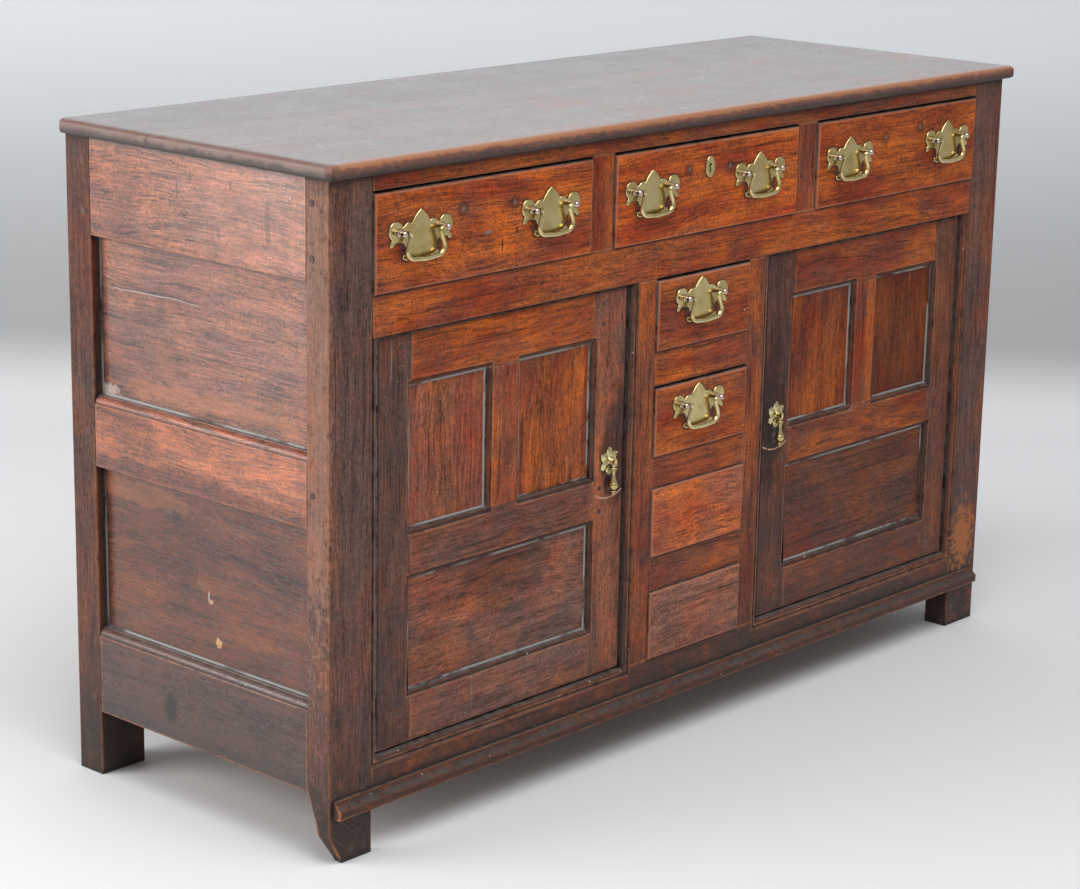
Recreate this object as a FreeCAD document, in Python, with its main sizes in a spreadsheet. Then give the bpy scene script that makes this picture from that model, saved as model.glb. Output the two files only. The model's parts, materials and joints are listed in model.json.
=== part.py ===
import FreeCAD, Part
import math
import os
import re

# A joined oak dresser base: a pegged frame of stiles and rails with panelled ends, three frieze
# drawers, two panelled cupboard doors and, between them, two small drawers over two fixed panels.
# All pieces are drawn from the front left foot: x runs right along the front, y runs back from
# the face of the frame and z runs up from the floor. Each finished node is then placed so that
# the origin lies on the floor, at the middle of the whole object's box.

doc = FreeCAD.newDocument("DresserBase")
Vector = FreeCAD.Vector

# Driving dimensions, in millimetres

SIZES = (
    ("carcase_width", 1336, "width over the front stiles"),
    ("carcase_depth", 464, "face of the frame to the back"),
    ("carcase_height", 818, "floor to the underside of the top"),
    ("top_thickness", 18, "thickness of the top boards"),
    ("top_end_overhang", 8, "top past each end"),
    ("top_front_overhang", 12.5, "top past the face of the frame"),
    ("top_joint", 302, "joint of the two top boards, from the face of the frame"),
    ("top_upper_round", 6.5, "rounding of the top's upper edge"),
    ("top_lower_round", 5, "rounding of the top's lower edge"),
    ("stile_width", 68, "front stile, across the front"),
    ("stile_depth", 38, "front stile, seen from the end"),
    ("rear_stile_width", 69, "rear stile, across the back"),
    ("rear_stile_depth", 45, "rear stile, seen from the end"),
    ("foot_bevel_width", 19.5, "outer bevel of the left front foot"),
    ("foot_bevel_height", 35, "height where that bevel starts"),
    ("foot_taper_top", 86, "height where the back of the left front foot starts to taper"),
    ("foot_taper_middle", 53, "height of the bend in that taper"),
    ("foot_toe_depth", 12, "depth of that foot at the floor"),
    ("frame_thickness", 30, "thickness of the front rails"),
    ("top_rail_bottom", 798, "underside of the front top rail"),
    ("drawer_rail_top", 678, "top of the rail under the frieze drawers"),
    ("drawer_rail_bottom", 628, "underside of that rail"),
    ("bottom_rail_top", 118, "top of the front bottom rail"),
    ("bottom_rail_bottom", 66, "underside of the front bottom rail"),
    ("muntin_inset", 441, "end of the carcase to the nearer drawer muntin"),
    ("muntin_width", 42, "upright between two frieze drawers"),
    ("centre_axis", 665, "middle of the column of small drawers"),
    ("centre_opening", 189, "width of that column's openings"),
    ("centre_stile_width", 35, "upright at each side of the column"),
    ("upper_drawer_bottom", 533, "sill of the upper small drawer"),
    ("lower_drawer_top", 487, "head of the lower small drawer"),
    ("lower_drawer_bottom", 393, "sill of the lower small drawer"),
    ("upper_panel_top", 351, "head of the upper fixed panel"),
    ("upper_panel_bottom", 258, "sill of the upper fixed panel"),
    ("lower_panel_top", 211, "head of the lower fixed panel"),
    ("shoulder", 4, "shoulder left round a tenon"),
    ("front_cheek", 11, "face of the frame to a front tenon"),
    ("tenon_thickness", 8, "thickness of every tenon"),
    ("long_tenon", 40, "front rail tenons"),
    ("end_tenon", 28, "end and rear rail tenons"),
    ("stub_tenon", 14, "tenons of the inner uprights and rails"),
    ("peg_radius", 4, "draw pegs"),
    ("peg_proud", 0.8, "peg head standing out of the wood"),
    ("peg_length", 22, "length of a peg"),
    ("end_top_peg_rise", 31, "upper pegs of an end's top rail, above that rail's middle"),
    ("end_top_peg_drop", 32, "lower pegs of an end's top rail, below that rail's middle"),
    ("end_middle_peg_drop", 3, "pegs of an end's middle rail, below that rail's middle"),
    ("end_bottom_peg_rise", 18, "pegs of an end's bottom rail, above its underside"),
    ("end_front_peg_inset", 10, "rear edge of a front stile to the pegs of the end rails"),
    ("end_rear_peg_inset", 11, "front edge of a rear stile to the pegs of the end rails"),
    ("front_peg_inset", 12.5, "inner edge of a front stile to the pegs of the drawer rail"),
    ("front_peg_spread", 16, "those pegs above and below the rail's middle"),
    ("strip_width", 11, "moulded strip in a door opening"),
    ("strip_depth", 20, "depth of that strip"),
    ("base_bottom", 60.4, "underside of the base moulding"),
    ("base_left", 5, "left end of the carcase to the base moulding"),
    ("base_right", 11, "base moulding to the right end of the carcase"),
    ("end_thickness", 26, "thickness of the end rails"),
    ("end_cheek", 9, "outside of an end to its tenons"),
    ("end_top_rail_bottom", 698, "underside of an end's top rail"),
    ("end_middle_rail_top", 498, "top of an end's middle rail"),
    ("end_middle_rail_bottom", 408, "underside of an end's middle rail"),
    ("end_bottom_rail_top", 197, "top of an end's bottom rail"),
    ("end_bottom_rail_bottom", 85, "underside of an end's bottom rail"),
    ("end_recess", 13, "outside of an end to its panels"),
    ("end_panel_thickness", 8, "thickness of the end panels"),
    ("groove", 8, "depth of every panel groove"),
    ("back_thickness", 12, "back boards"),
    ("back_rebate", 20, "rebate in a rear stile for the back boards"),
    ("rear_rail_thickness", 27, "rear rails"),
    ("rear_rail_height", 40, "rear rails"),
    ("floor_thickness", 14, "cupboard floor boards"),
    ("bearer", 18, "square battens under the floor and the drawers"),
    ("partition_thickness", 14, "boards between cupboards and small drawers"),
    ("runner_thickness", 20, "frieze drawer runners and kickers"),
    ("runner_width", 74, "frieze drawer runners and kickers"),
    ("guide_height", 22, "strips that guide the drawer sides"),
    ("drawer_proud", 3, "drawer front in front of the frame"),
    ("drawer_front", 22, "thickness of a drawer front"),
    ("drawer_gap", 1.3, "gap at each end of a drawer front"),
    ("drawer_top_gap", 3.5, "gap over a drawer front"),
    ("drawer_lift", 0.4, "drawer side above its runner"),
    ("drawer_side", 9, "thickness of drawer sides and backs"),
    ("drawer_lap", 10, "front wood left in front of the dovetails"),
    ("drawer_board", 7, "thickness of a drawer bottom"),
    ("drawer_board_rise", 6, "drawer side's lower edge to the bottom board"),
    ("drawer_side_drop", 11, "drawer side's top edge below the front's"),
    ("drawer_rear_gap", 1, "drawer end to the rear rail"),
    ("front_round", 2.5, "rounding of a drawer front's edges"),
    ("plate_thickness", 2, "brass back plates and star plates"),
    ("post_spacing", 71, "the two posts of a handle"),
    ("post_rise", 7.5, "back plate to the handle's pivot line"),
    ("ball_radius", 4.2, "ball head of a post"),
    ("shank_radius", 2.5, "shank of a post through the drawer front"),
    ("pin_radius", 1.8, "pin of a bail in its post"),
    ("pin_clearance", 0.06, "running clearance of a pin"),
    ("pin_reach", 2, "pin of a bail past the middle of its post"),
    ("bail_radius", 3, "half the thickness of a bail"),
    ("bail_drop", 32.5, "pivot line to the middle of a bail's foot"),
    ("frieze_handle_height", 746, "pivot line of the frieze handles"),
    ("left_handle_spacing", 222, "the two handles of the left frieze drawer"),
    ("middle_handle_spacing", 217, "the two handles of the middle frieze drawer"),
    ("right_handle_spacing", 230, "the two handles of the right frieze drawer"),
    ("left_handle_shift", 2.5, "that pair of handles left of the drawer's middle"),
    ("middle_handle_shift", 7.5, "that pair of handles left of the drawer's middle"),
    ("right_handle_shift", 0.5, "that pair of handles left of the drawer's middle"),
    ("small_handle_shift", 8, "small handles left of the column's middle"),
    ("small_handle_drop", 28, "small drawer front's top to its pivot line"),
    ("keyhole_height", 762, "middle of the key plate"),
    ("keyhole_shift", 3, "key plate left of the carcase's middle"),
    ("escutcheon_width", 18, "oval key plate"),
    ("escutcheon_height", 28, "oval key plate"),
    ("lock_width", 48, "drawer lock case"),
    ("lock_height", 30, "drawer lock case"),
    ("lock_depth", 9, "drawer lock case"),
    ("door_gap", 3, "gap round a door"),
    ("door_recess", 7, "face of the frame to the face of a door"),
    ("door_thickness", 24, "thickness of a door frame"),
    ("door_hinge_stile", 50.5, "door stile on the hinge side, to its moulding"),
    ("door_meeting_stile", 56, "door stile on the opening side, to its moulding"),
    ("door_muntin", 45.5, "upright between a door's upper panels"),
    ("door_bottom_rail_top", 178, "top of a door's bottom rail"),
    ("door_middle_rail_bottom", 330, "underside of a door's middle rail"),
    ("door_middle_rail_top", 379.5, "top of a door's middle rail"),
    ("door_top_rail_bottom", 567, "underside of a door's top rail"),
    ("sticking", 6, "width of the moulding round a door panel"),
    ("door_panel_recess", 7, "face of a door to its panels"),
    ("door_panel_thickness", 8, "thickness of the door panels"),
    ("door_edge_round", 5, "rounding of a door's hinge edge"),
    ("door_peg_radius", 3.5, "draw pegs of the doors"),
    ("door_peg_length", 20, "draw pegs of the doors"),
    ("door_peg_inset", 11, "inner edge of a door stile to its pegs"),
    ("top_peg_spread", 13, "pegs above and below the middle of a door's top rail"),
    ("middle_peg_spread", 15.5, "pegs above and below the middle of a door's middle rail"),
    ("bottom_peg_spread", 11, "pegs above and below the middle of a door's bottom rail"),
    ("pivot_inset", 8, "hinge edge of a door to its pivot"),
    ("pivot_radius", 4, "iron pivot pins of a door"),
    ("pivot_engagement", 9, "pivot pin in the frame"),
    ("pivot_embed", 25, "pivot pin in the door"),
    ("pull_inset", 28.5, "opening edge of a door to its pull"),
    ("pull_height", 403, "stud of a door pull"),
    ("pull_stand", 8.4, "face of a door to the middle of the drop"),
    ("star_radius", 18, "points of the star plate behind a drop"),
    ("star_waist", 12.5, "hollows between those points"),
    ("stud_radius", 2, "stud that carries a drop"),
    ("eye_radius", 4.8, "eye of a drop"),
    ("eye_thickness", 3.6, "eye of a drop"),
)

sheet = doc.addObject("Spreadsheet::Sheet", "Sizes")
for row, (alias, size, note) in enumerate(SIZES, start=1):
    sheet.set("A%d" % row, note)
    sheet.set("B%d" % row, str(size))
    sheet.setAlias("B%d" % row, alias)
doc.recompute()


def mm(alias):
    """One cell of the sheet, as a number."""
    return float(sheet.get(alias))


def formula(words):
    """An expression in which every word is a cell of the sheet."""
    return re.sub(r"[a-z]\w*", lambda word: "Sizes." + word.group(), words)


# Helpers for the solids

ALONG_X = FreeCAD.Rotation(Vector(0, 1, 0), Vector(0, 0, 1), Vector(1, 0, 0), "ZXY")
ALONG_Z = FreeCAD.Rotation()
FACING_FRONT = FreeCAD.Rotation(Vector(1, 0, 0), Vector(0, 0, 1), Vector(0, -1, 0), "ZXY")
TOWARDS_RIGHT = FreeCAD.Rotation(Vector(0, 1, 0), 90)
TOWARDS_BACK = FreeCAD.Rotation(Vector(1, 0, 0), -90)
UPWARDS = FreeCAD.Rotation()
SIN_45 = 0.5 ** 0.5


def place(piece, x, y, z):
    """Bind the position of a piece to the sheet."""
    for axis, words in zip("xyz", (x, y, z)):
        piece.setExpression("Placement.Base." + axis, formula(words))


def block(name, xs, ys, zs):
    """A squared board, given by its low and high limits along each axis."""
    board = doc.addObject("Part::Box", name)
    for side, (low, high) in zip(("Length", "Width", "Height"), (xs, ys, zs)):
        board.setExpression(side, formula("(%s) - (%s)" % (high, low)))
    place(board, xs[0], ys[0], zs[0])
    return board


def cylinder(name, radius, length, x, y, z, rotation):
    """A round pin or hole that starts at a point and runs in one direction."""
    pin = doc.addObject("Part::Cylinder", name)
    pin.setExpression("Radius", formula(radius))
    pin.setExpression("Height", formula(length))
    pin.Placement = FreeCAD.Placement(Vector(), rotation)
    place(pin, x, y, z)
    return pin


def fused(name, pieces):
    """Several shapes glued into one."""
    whole = doc.addObject("Part::MultiFuse", name)
    whole.Shapes = pieces
    whole.Refine = True
    return whole


def cut(name, base, tools):
    """A piece with all its mortises, grooves, holes and mouldings cut."""
    rest = doc.addObject("Part::Cut", name)
    rest.Base = base
    rest.Tool = tools[0] if len(tools) == 1 else fused(name + "Tools", tools)
    rest.Refine = True
    return rest


def rounded(name, base, picked):
    """Round chosen edges: picked gives an edge's radius, or nothing where it stays sharp."""
    doc.recompute()
    edges = [(index, picked(edge)) for index, edge in enumerate(base.Shape.Edges, start=1)]
    soft = doc.addObject("Part::Fillet", name)
    soft.Base = base
    soft.Edges = [(index, radius, radius) for index, radius in edges if radius]
    return soft


def draw(sketch, start, steps):
    """Draw an outline: two numbers are a line's end, four are an arc's middle and its end."""
    here = Vector(start[0], start[1], 0)
    for step in steps:
        there = Vector(step[-2], step[-1], 0)
        if len(step) == 4:
            sketch.addGeometry(Part.Arc(here, Vector(step[0], step[1], 0), there))
        else:
            sketch.addGeometry(Part.LineSegment(here, there))
        here = there


def prism(name, start, steps, rotation, x, y, z, length):
    """An outline drawn at a point and run straight along the sketch's normal."""
    sketch = doc.addObject("Sketcher::SketchObject", name + "Outline")
    draw(sketch, start, steps)
    sketch.Placement = FreeCAD.Placement(Vector(), rotation)
    place(sketch, x, y, z)
    run = doc.addObject("Part::Extrusion", name)
    run.Base = sketch
    run.DirMode = "Normal"
    run.Solid = True
    run.setExpression("LengthFwd", formula(length))
    return run


def plane_of(body, role):
    """One of a body's own origin planes."""
    return next(item for item in body.Origin.OriginFeatures if item.Role == role)


def body_sketch(body, name, role, start, steps):
    """A closed outline on one of a body's origin planes."""
    sketch = body.newObject("Sketcher::SketchObject", name)
    sketch.AttachmentSupport = [(plane_of(body, role), "")]
    sketch.MapMode = "FlatFace"
    draw(sketch, start, steps)
    return sketch


def turned(name, role, start, steps):
    """A turned piece: a half outline spun round the sketch's upright axis."""
    body = doc.addObject("PartDesign::Body", name)
    sketch = body_sketch(body, name + "Outline", role, start, steps)
    spin = body.newObject("PartDesign::Revolution", name + "Turning")
    spin.Profile = sketch
    spin.ReferenceAxis = (sketch, ["V_Axis"])
    spin.Angle = 360
    doc.recompute()
    return body


def copy_of(name, pattern, x, y, z):
    """One more of a piece that the object has several of."""
    again = doc.addObject("App::Link", name)
    again.LinkedObject = pattern
    again.LinkTransform = True
    place(again, x, y, z)
    return again


REACH = "(drawer_proud + plate_thickness + post_rise + ball_radius)"
nodes = []


def node(label, pieces):
    """A named sub-part, moved from the drawing corner to the object's own origin."""
    group = doc.addObject("Part::Compound", "Node_" + label)
    group.Label = label
    group.Links = pieces
    place(group, "0 - carcase_width / 2", "(%s - carcase_depth) / 2" % REACH, "0")
    nodes.append(group)


def tenoned(name, limits, along, cheeks, length, shoulder="shoulder"):
    """A rail or upright with a tenon at each end; along is its axis, cheeks the tenon's faces."""
    cheek_axis = 0 if along == 1 else 1
    low, high = limits[along]
    tenons = []
    for end, reach in (("Near", ("%s - (%s)" % (low, length), low)),
                       ("Far", (high, "%s + (%s)" % (high, length)))):
        sides = [("%s + %s" % (first, shoulder), "%s - %s" % (last, shoulder)) for first, last in limits]
        sides[along] = reach
        sides[cheek_axis] = cheeks
        tenons.append(block(name + end + "Tenon", *sides))
    whole = fused(name + "Blank", [block(name + "Board", *limits)] + tenons)
    return whole, tenons


# Lines that several pieces share

FRONT_CHEEKS = ("front_cheek", "front_cheek + tenon_thickness")
FRONT_FACES = ("0", "frame_thickness")
RIGHT_STILE = "carcase_width - stile_width"
REAR_STILE = "carcase_depth - rear_stile_depth"
RIGHT_REAR_STILE = "carcase_width - rear_stile_width"
RIGHT_MUNTIN = "carcase_width - muntin_inset - muntin_width"
CENTRE_LEFT = "centre_axis - centre_opening / 2"
CENTRE_RIGHT = "centre_axis + centre_opening / 2"
LEFT_CENTRE_STILE = CENTRE_LEFT + " - centre_stile_width"
RIGHT_CENTRE_STILE = CENTRE_RIGHT + " + centre_stile_width"
REAR_RAIL_BACK = "carcase_depth - back_thickness"
REAR_RAIL_FRONT = REAR_RAIL_BACK + " - rear_rail_thickness"
RAIL_TOP = "bottom_rail_top"

# Front rails, muntins and the centre column

across = ("stile_width", RIGHT_STILE)
top_rail, top_rail_tenons = tenoned(
    "TopRail", (across, FRONT_FACES, ("top_rail_bottom", "carcase_height")), 0, FRONT_CHEEKS, "long_tenon")
drawer_rail, drawer_rail_tenons = tenoned(
    "DrawerRail", (across, FRONT_FACES, ("drawer_rail_bottom", "drawer_rail_top")), 0, FRONT_CHEEKS,
    "long_tenon")
bottom_rail, bottom_rail_tenons = tenoned(
    "BottomRail", (across, FRONT_FACES, ("bottom_rail_bottom", RAIL_TOP)), 0, FRONT_CHEEKS, "long_tenon")

muntins = []
muntin_tenons = []
for hand, left in (("Left", "muntin_inset"), ("Right", RIGHT_MUNTIN)):
    limits = ((left, left + " + muntin_width"), FRONT_FACES, ("drawer_rail_top", "top_rail_bottom"))
    upright, tenons = tenoned("Muntin" + hand, limits, 2, FRONT_CHEEKS, "stub_tenon")
    muntins.append(upright)
    muntin_tenons.append(tenons)

centre_rails = []
centre_rail_tenons = []
for place_name, low, high in (("Upper", "lower_drawer_top", "upper_drawer_bottom"),
                              ("Middle", "upper_panel_top", "lower_drawer_bottom"),
                              ("Lower", "lower_panel_top", "upper_panel_bottom")):
    limits = ((CENTRE_LEFT, CENTRE_RIGHT), FRONT_FACES, (low, high))
    rail, tenons = tenoned("CentreRail" + place_name, limits, 0, FRONT_CHEEKS, "stub_tenon")
    centre_rails.append(rail)
    centre_rail_tenons.append(tenons)

centre_stiles = []
centre_stile_tenons = []
for side, (low, high) in enumerate(((LEFT_CENTRE_STILE, CENTRE_LEFT), (CENTRE_RIGHT, RIGHT_CENTRE_STILE))):
    name = ("CentreStileLeft", "CentreStileRight")[side]
    limits = ((low, high), FRONT_FACES, (RAIL_TOP, "drawer_rail_bottom"))
    upright, tenons = tenoned(name, limits, 2, FRONT_CHEEKS, "stub_tenon")
    mortises = [pair[side] for pair in centre_rail_tenons]
    centre_stiles.append(cut(name, upright, mortises))
    centre_stile_tenons.append(tenons)

# Moulded strips in the door openings: a bead beside a sharp quirk, mitred at the lower corners

QUIRK = (3.0, 3.6)
BEAD_START = (4.0, 1.4)
BEAD_RADIUS = 7.0
MITRE_BOX = 60.0


def turned_over(steps, sign=-1):
    """The same outline with every first coordinate's sign changed."""
    return [tuple(value * sign if i % 2 == 0 else value for i, value in enumerate(step)) for step in steps]


def strip_outline(turn):
    """The strip's section from the frame (0) into the opening, turned over for the far side."""
    bead_middle = (BEAD_START[0] + BEAD_RADIUS * SIN_45, BEAD_START[1] + BEAD_RADIUS * (1 - SIN_45))
    bead_end = (BEAD_START[0] + BEAD_RADIUS, BEAD_START[1] + BEAD_RADIUS)
    depth = mm("strip_depth")
    start = (0, 0.6)
    steps = (QUIRK, BEAD_START, bead_middle + bead_end, (bead_end[0], depth), (0, depth), start)
    if turn == "up":
        return (start[1], start[0]), [tuple(step[i ^ 1] for i in range(len(step))) for step in steps]
    if turn == "left":
        return start, turned_over(steps)
    return start, steps


def mitre(name, x, z, angle):
    """A large block whose lower face lies on the 45 degree mitre through a corner."""
    knife = doc.addObject("Part::Box", name)
    knife.Length = MITRE_BOX
    knife.Width = MITRE_BOX
    knife.Height = MITRE_BOX
    turn = FreeCAD.Rotation(Vector(0, 1, 0), angle)
    shift = turn.multVec(Vector(MITRE_BOX / 2, 0, 0))
    knife.Placement = FreeCAD.Placement(Vector(), turn)
    place(knife, "%s - (%r)" % (x, shift.x), "0 - strip_depth", "%s - (%r)" % (z, shift.z))
    return knife


DOOR_OPENINGS = (("Left", "stile_width", LEFT_CENTRE_STILE), ("Right", RIGHT_CENTRE_STILE, RIGHT_STILE))
strip_sill = RAIL_TOP + " - strip_width"
strips = []
bottom_strips = []
pivot_holes = {}
for hand, low, high in DOOR_OPENINGS:
    rise = "drawer_rail_bottom - (%s)" % strip_sill
    near = prism("Strip%sNear" % hand, *strip_outline("right"), ALONG_Z, low, "0", strip_sill, rise)
    far = prism("Strip%sFar" % hand, *strip_outline("left"), ALONG_Z, high, "0", strip_sill, rise)
    sill = prism("Strip%sSill" % hand, *strip_outline("up"), ALONG_X, low, "0", strip_sill,
                 "(%s) - (%s)" % (high, low))
    hinge = "stile_width + strip_width + door_gap + pivot_inset"
    if hand == "Right":
        hinge = "carcase_width - (%s)" % hinge
    hole_radius = "pivot_radius + pin_clearance"
    hole_depth = "pivot_engagement + 1"
    setback = "door_recess + door_panel_recess"
    pivot_holes[hand] = [
        cylinder("PivotHole%s%s" % (hand, end), hole_radius, hole_depth, hinge, setback, foot, UPWARDS)
        for end, foot in (("Top", "drawer_rail_bottom"), ("Foot", RAIL_TOP + " - (%s)" % hole_depth))]
    strips.append(cut("Strip%sNearMitred" % hand, near, [mitre("MitreA" + hand, low, strip_sill, 135)]))
    strips.append(cut("Strip%sFarMitred" % hand, far, [mitre("MitreB" + hand, high, strip_sill, -135)]))
    sill_ends = [mitre("MitreC" + hand, low, strip_sill, -45), mitre("MitreD" + hand, high, strip_sill, 45)]
    bottom_strips.append(cut("Strip%sSillMitred" % hand, sill, sill_ends + [pivot_holes[hand][1]]))

rail_rebates = [block("SillRebate" + hand, (low, high), ("0", "strip_depth"), (strip_sill, RAIL_TOP))
                for hand, low, high in DOOR_OPENINGS]

node("front_top_rail", [cut("TopRailDone", top_rail, [pair[1] for pair in muntin_tenons])])
node("drawer_muntins", muntins)
node("centre_stiles", centre_stiles)
node("centre_rails", centre_rails)
node("opening_mouldings", strips + bottom_strips)

# Ends: three rails and two panels a side, with a moulding along the tops of two rails

END_QUIRK = 1.8
END_BEAD = 7.0
END_MOULDING = 10.0
MOULDING_OVERRUN = 2.0


def end_moulding(name, x, z, turn):
    """The wood planed away along the outer top edge of an end rail."""
    foot = -END_MOULDING + END_QUIRK
    far = END_QUIRK + END_BEAD
    corners = [(-MOULDING_OVERRUN, -END_MOULDING), (END_QUIRK, -END_MOULDING), (END_QUIRK, foot),
               (far - END_BEAD * SIN_45, foot + END_BEAD * SIN_45, far, foot + END_BEAD),
               (far, MOULDING_OVERRUN), (-MOULDING_OVERRUN, MOULDING_OVERRUN),
               (-MOULDING_OVERRUN, -END_MOULDING)]
    drawn = turned_over(corners, turn)
    length = "(%s) - stile_depth" % REAR_STILE
    return prism(name, drawn[0], drawn[1:], FACING_FRONT, x, REAR_STILE, z, length)


END_RAILS = (("Top", "end_top_rail_bottom", "carcase_height"),
             ("Middle", "end_middle_rail_bottom", "end_middle_rail_top"),
             ("Bottom", "end_bottom_rail_bottom", "end_bottom_rail_top"))
END_PEGS = ("(end_top_rail_bottom + carcase_height) / 2 + end_top_peg_rise",
            "(end_top_rail_bottom + carcase_height) / 2 - end_top_peg_drop",
            "(end_middle_rail_bottom + end_middle_rail_top) / 2 - end_middle_peg_drop",
            "end_bottom_rail_bottom + end_bottom_peg_rise")
FRONT_PEG_DEPTH = "stile_depth - end_front_peg_inset"
REAR_PEG_DEPTH = REAR_STILE + " + end_rear_peg_inset"

end_rails = []
end_panels = []
end_tenons = {"Left": [], "Right": []}
end_boards = {"Left": [], "Right": []}
end_pegs = {"Left": [], "Right": []}
for hand in ("Left", "Right"):
    def inwards(near, far, hand=hand):
        """Limits across an end, measured in from its outer face."""
        if hand == "Left":
            return near, far
        return "carcase_width - (%s)" % far, "carcase_width - (%s)" % near

    for row, height in enumerate(END_PEGS):
        for spot, depth in (("Front", FRONT_PEG_DEPTH), ("Rear", REAR_PEG_DEPTH)):
            start = inwards("0 - peg_proud", "peg_length - peg_proud")[0]
            name = "EndPeg%s%s%d" % (hand, spot, row)
            peg = cylinder(name, "peg_radius", "peg_length", start, depth, height, TOWARDS_RIGHT)
            end_pegs[hand].append(peg)
    for part, low, high in (("Upper", "end_middle_rail_top", "end_top_rail_bottom"),
                            ("Lower", "end_bottom_rail_top", "end_middle_rail_bottom")):
        end_boards[hand].append(block(
            "EndPanel%s%s" % (hand, part), inwards("end_recess", "end_recess + end_panel_thickness"),
            ("stile_depth - groove", REAR_STILE + " + groove"), (low + " - groove", high + " + groove")))
    for part, low, high in END_RAILS:
        limits = (inwards("0", "end_thickness"), ("stile_depth", REAR_STILE), (low, high))
        cheeks = inwards("end_cheek", "end_cheek + tenon_thickness")
        name = "EndRail%s%s" % (hand, part)
        rail, tenons = tenoned(name, limits, 1, cheeks, "end_tenon", "groove + shoulder")
        tools = end_boards[hand] + end_pegs[hand]
        if part != "Top":
            outer = "0" if hand == "Left" else "carcase_width"
            turn = 1 if hand == "Left" else -1
            tools = tools + [end_moulding("EndMoulding%s%s" % (hand, part), outer, high, turn)]
        end_rails.append(cut(name + "Done", rail, tools))
        end_tenons[hand] += tenons
    end_panels += end_boards[hand]

node("end_rails", end_rails)
node("end_panels", end_panels)

# Rear rails, back boards and rear stiles

REAR_CHEEKS = (REAR_RAIL_FRONT + " + shoulder * 2", REAR_RAIL_FRONT + " + shoulder * 2 + tenon_thickness")
rear_rails = []
rear_tenons = []
for part, top in (("Top", "carcase_height"), ("Drawer", "drawer_rail_top"), ("Bottom", RAIL_TOP)):
    limits = (("rear_stile_width", RIGHT_REAR_STILE), (REAR_RAIL_FRONT, REAR_RAIL_BACK),
              (top + " - rear_rail_height", top))
    rail, tenons = tenoned("RearRail" + part, limits, 0, REAR_CHEEKS, "end_tenon")
    rear_rails.append(rail)
    rear_tenons.append(tenons)
node("rear_rails", rear_rails)

BACK_BOARDS = 4
BACK_GAP = 0.6
back_inset = "rear_stile_width - back_rebate"
back_rise = "(carcase_height - bottom_rail_bottom) / %d" % BACK_BOARDS
back_boards = []
for row in range(BACK_BOARDS):
    foot = "bottom_rail_bottom + (%s) * %d" % (back_rise, row)
    back_boards.append(block("BackBoard%d" % row, (back_inset, "carcase_width - (%s)" % back_inset),
                             (REAR_RAIL_BACK, "carcase_depth"),
                             (foot, "%s + %s - %r" % (foot, back_rise, BACK_GAP))))
node("back_boards", back_boards)

rear_stiles = []
rear_blocks = []
for hand, low, side in (("Left", "0", 0), ("Right", RIGHT_REAR_STILE, 1)):
    post = block("RearStile" + hand, (low, low + " + rear_stile_width"), (REAR_STILE, "carcase_depth"),
                 ("0", "carcase_height"))
    rebate_low = back_inset if hand == "Left" else RIGHT_REAR_STILE
    rebate = block("RearRebate" + hand, (rebate_low, rebate_low + " + back_rebate"),
                   (REAR_RAIL_BACK, "carcase_depth"), ("bottom_rail_bottom", "carcase_height"))
    tools = end_tenons[hand] + end_boards[hand] + end_pegs[hand] + [rebate]
    tools += [pair[side] for pair in rear_tenons]
    rear_blocks.append(post)
    rear_stiles.append(cut("RearStile%sDone" % hand, post, tools))
node("rear_stiles", rear_stiles)

# Front stiles and their pegs; the left foot is worn to a taper at the back and a bevel outside

FRONT_PEGS = ("(drawer_rail_bottom + drawer_rail_top) / 2 + front_peg_spread",
              "(drawer_rail_bottom + drawer_rail_top) / 2 - front_peg_spread")
FOOT_OVERRUN = 5.0
front_blocks = []
front_pegs = []
for hand, low, side in (("Left", "0", 0), ("Right", RIGHT_STILE, 1)):
    post = block("FrontStile" + hand, (low, low + " + stile_width"), ("0", "stile_depth"),
                 ("0", "carcase_height"))
    front_blocks.append(post)
    inset = "stile_width - front_peg_inset" if hand == "Left" else RIGHT_STILE + " + front_peg_inset"
    pegs = [cylinder("FrontPeg%s%d" % (hand, row), "peg_radius", "peg_length", inset, "0 - peg_proud", height,
                     TOWARDS_BACK)
            for row, height in enumerate(FRONT_PEGS)]
    front_pegs += pegs
    tools = end_tenons[hand] + end_boards[hand] + end_pegs[hand] + pegs
    tools += [pair[side] for pair in (top_rail_tenons, drawer_rail_tenons, bottom_rail_tenons)]
    if hand == "Left":
        depth = mm("stile_depth")
        toe = mm("foot_toe_depth")
        bend = (toe + depth) / 2
        heel = depth + FOOT_OVERRUN
        taper_top = mm("foot_taper_top")
        tools.append(prism("FootTaper", (depth, taper_top),
                           ((bend, mm("foot_taper_middle")), (toe, FOOT_OVERRUN), (toe, -FOOT_OVERRUN),
                            (heel, -FOOT_OVERRUN), (heel, taper_top), (depth, taper_top)),
                           ALONG_X, "0", "0", "0", "stile_width"))
        wide = mm("foot_bevel_width")
        tall = mm("foot_bevel_height")
        tools.append(prism("FootBevel", (-FOOT_OVERRUN, -FOOT_OVERRUN),
                           ((wide, -FOOT_OVERRUN), (wide, 0), (0, tall), (-FOOT_OVERRUN, tall),
                            (-FOOT_OVERRUN, -FOOT_OVERRUN)),
                           FACING_FRONT, "0", "stile_depth + shoulder", "0", "stile_depth + shoulder * 2"))
    node("front_%s_stile" % hand.lower(), [cut("FrontStile%sDone" % hand, post, tools)])

frame_pegs = end_pegs["Left"] + end_pegs["Right"] + front_pegs
node("frame_pegs", frame_pegs)

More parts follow.
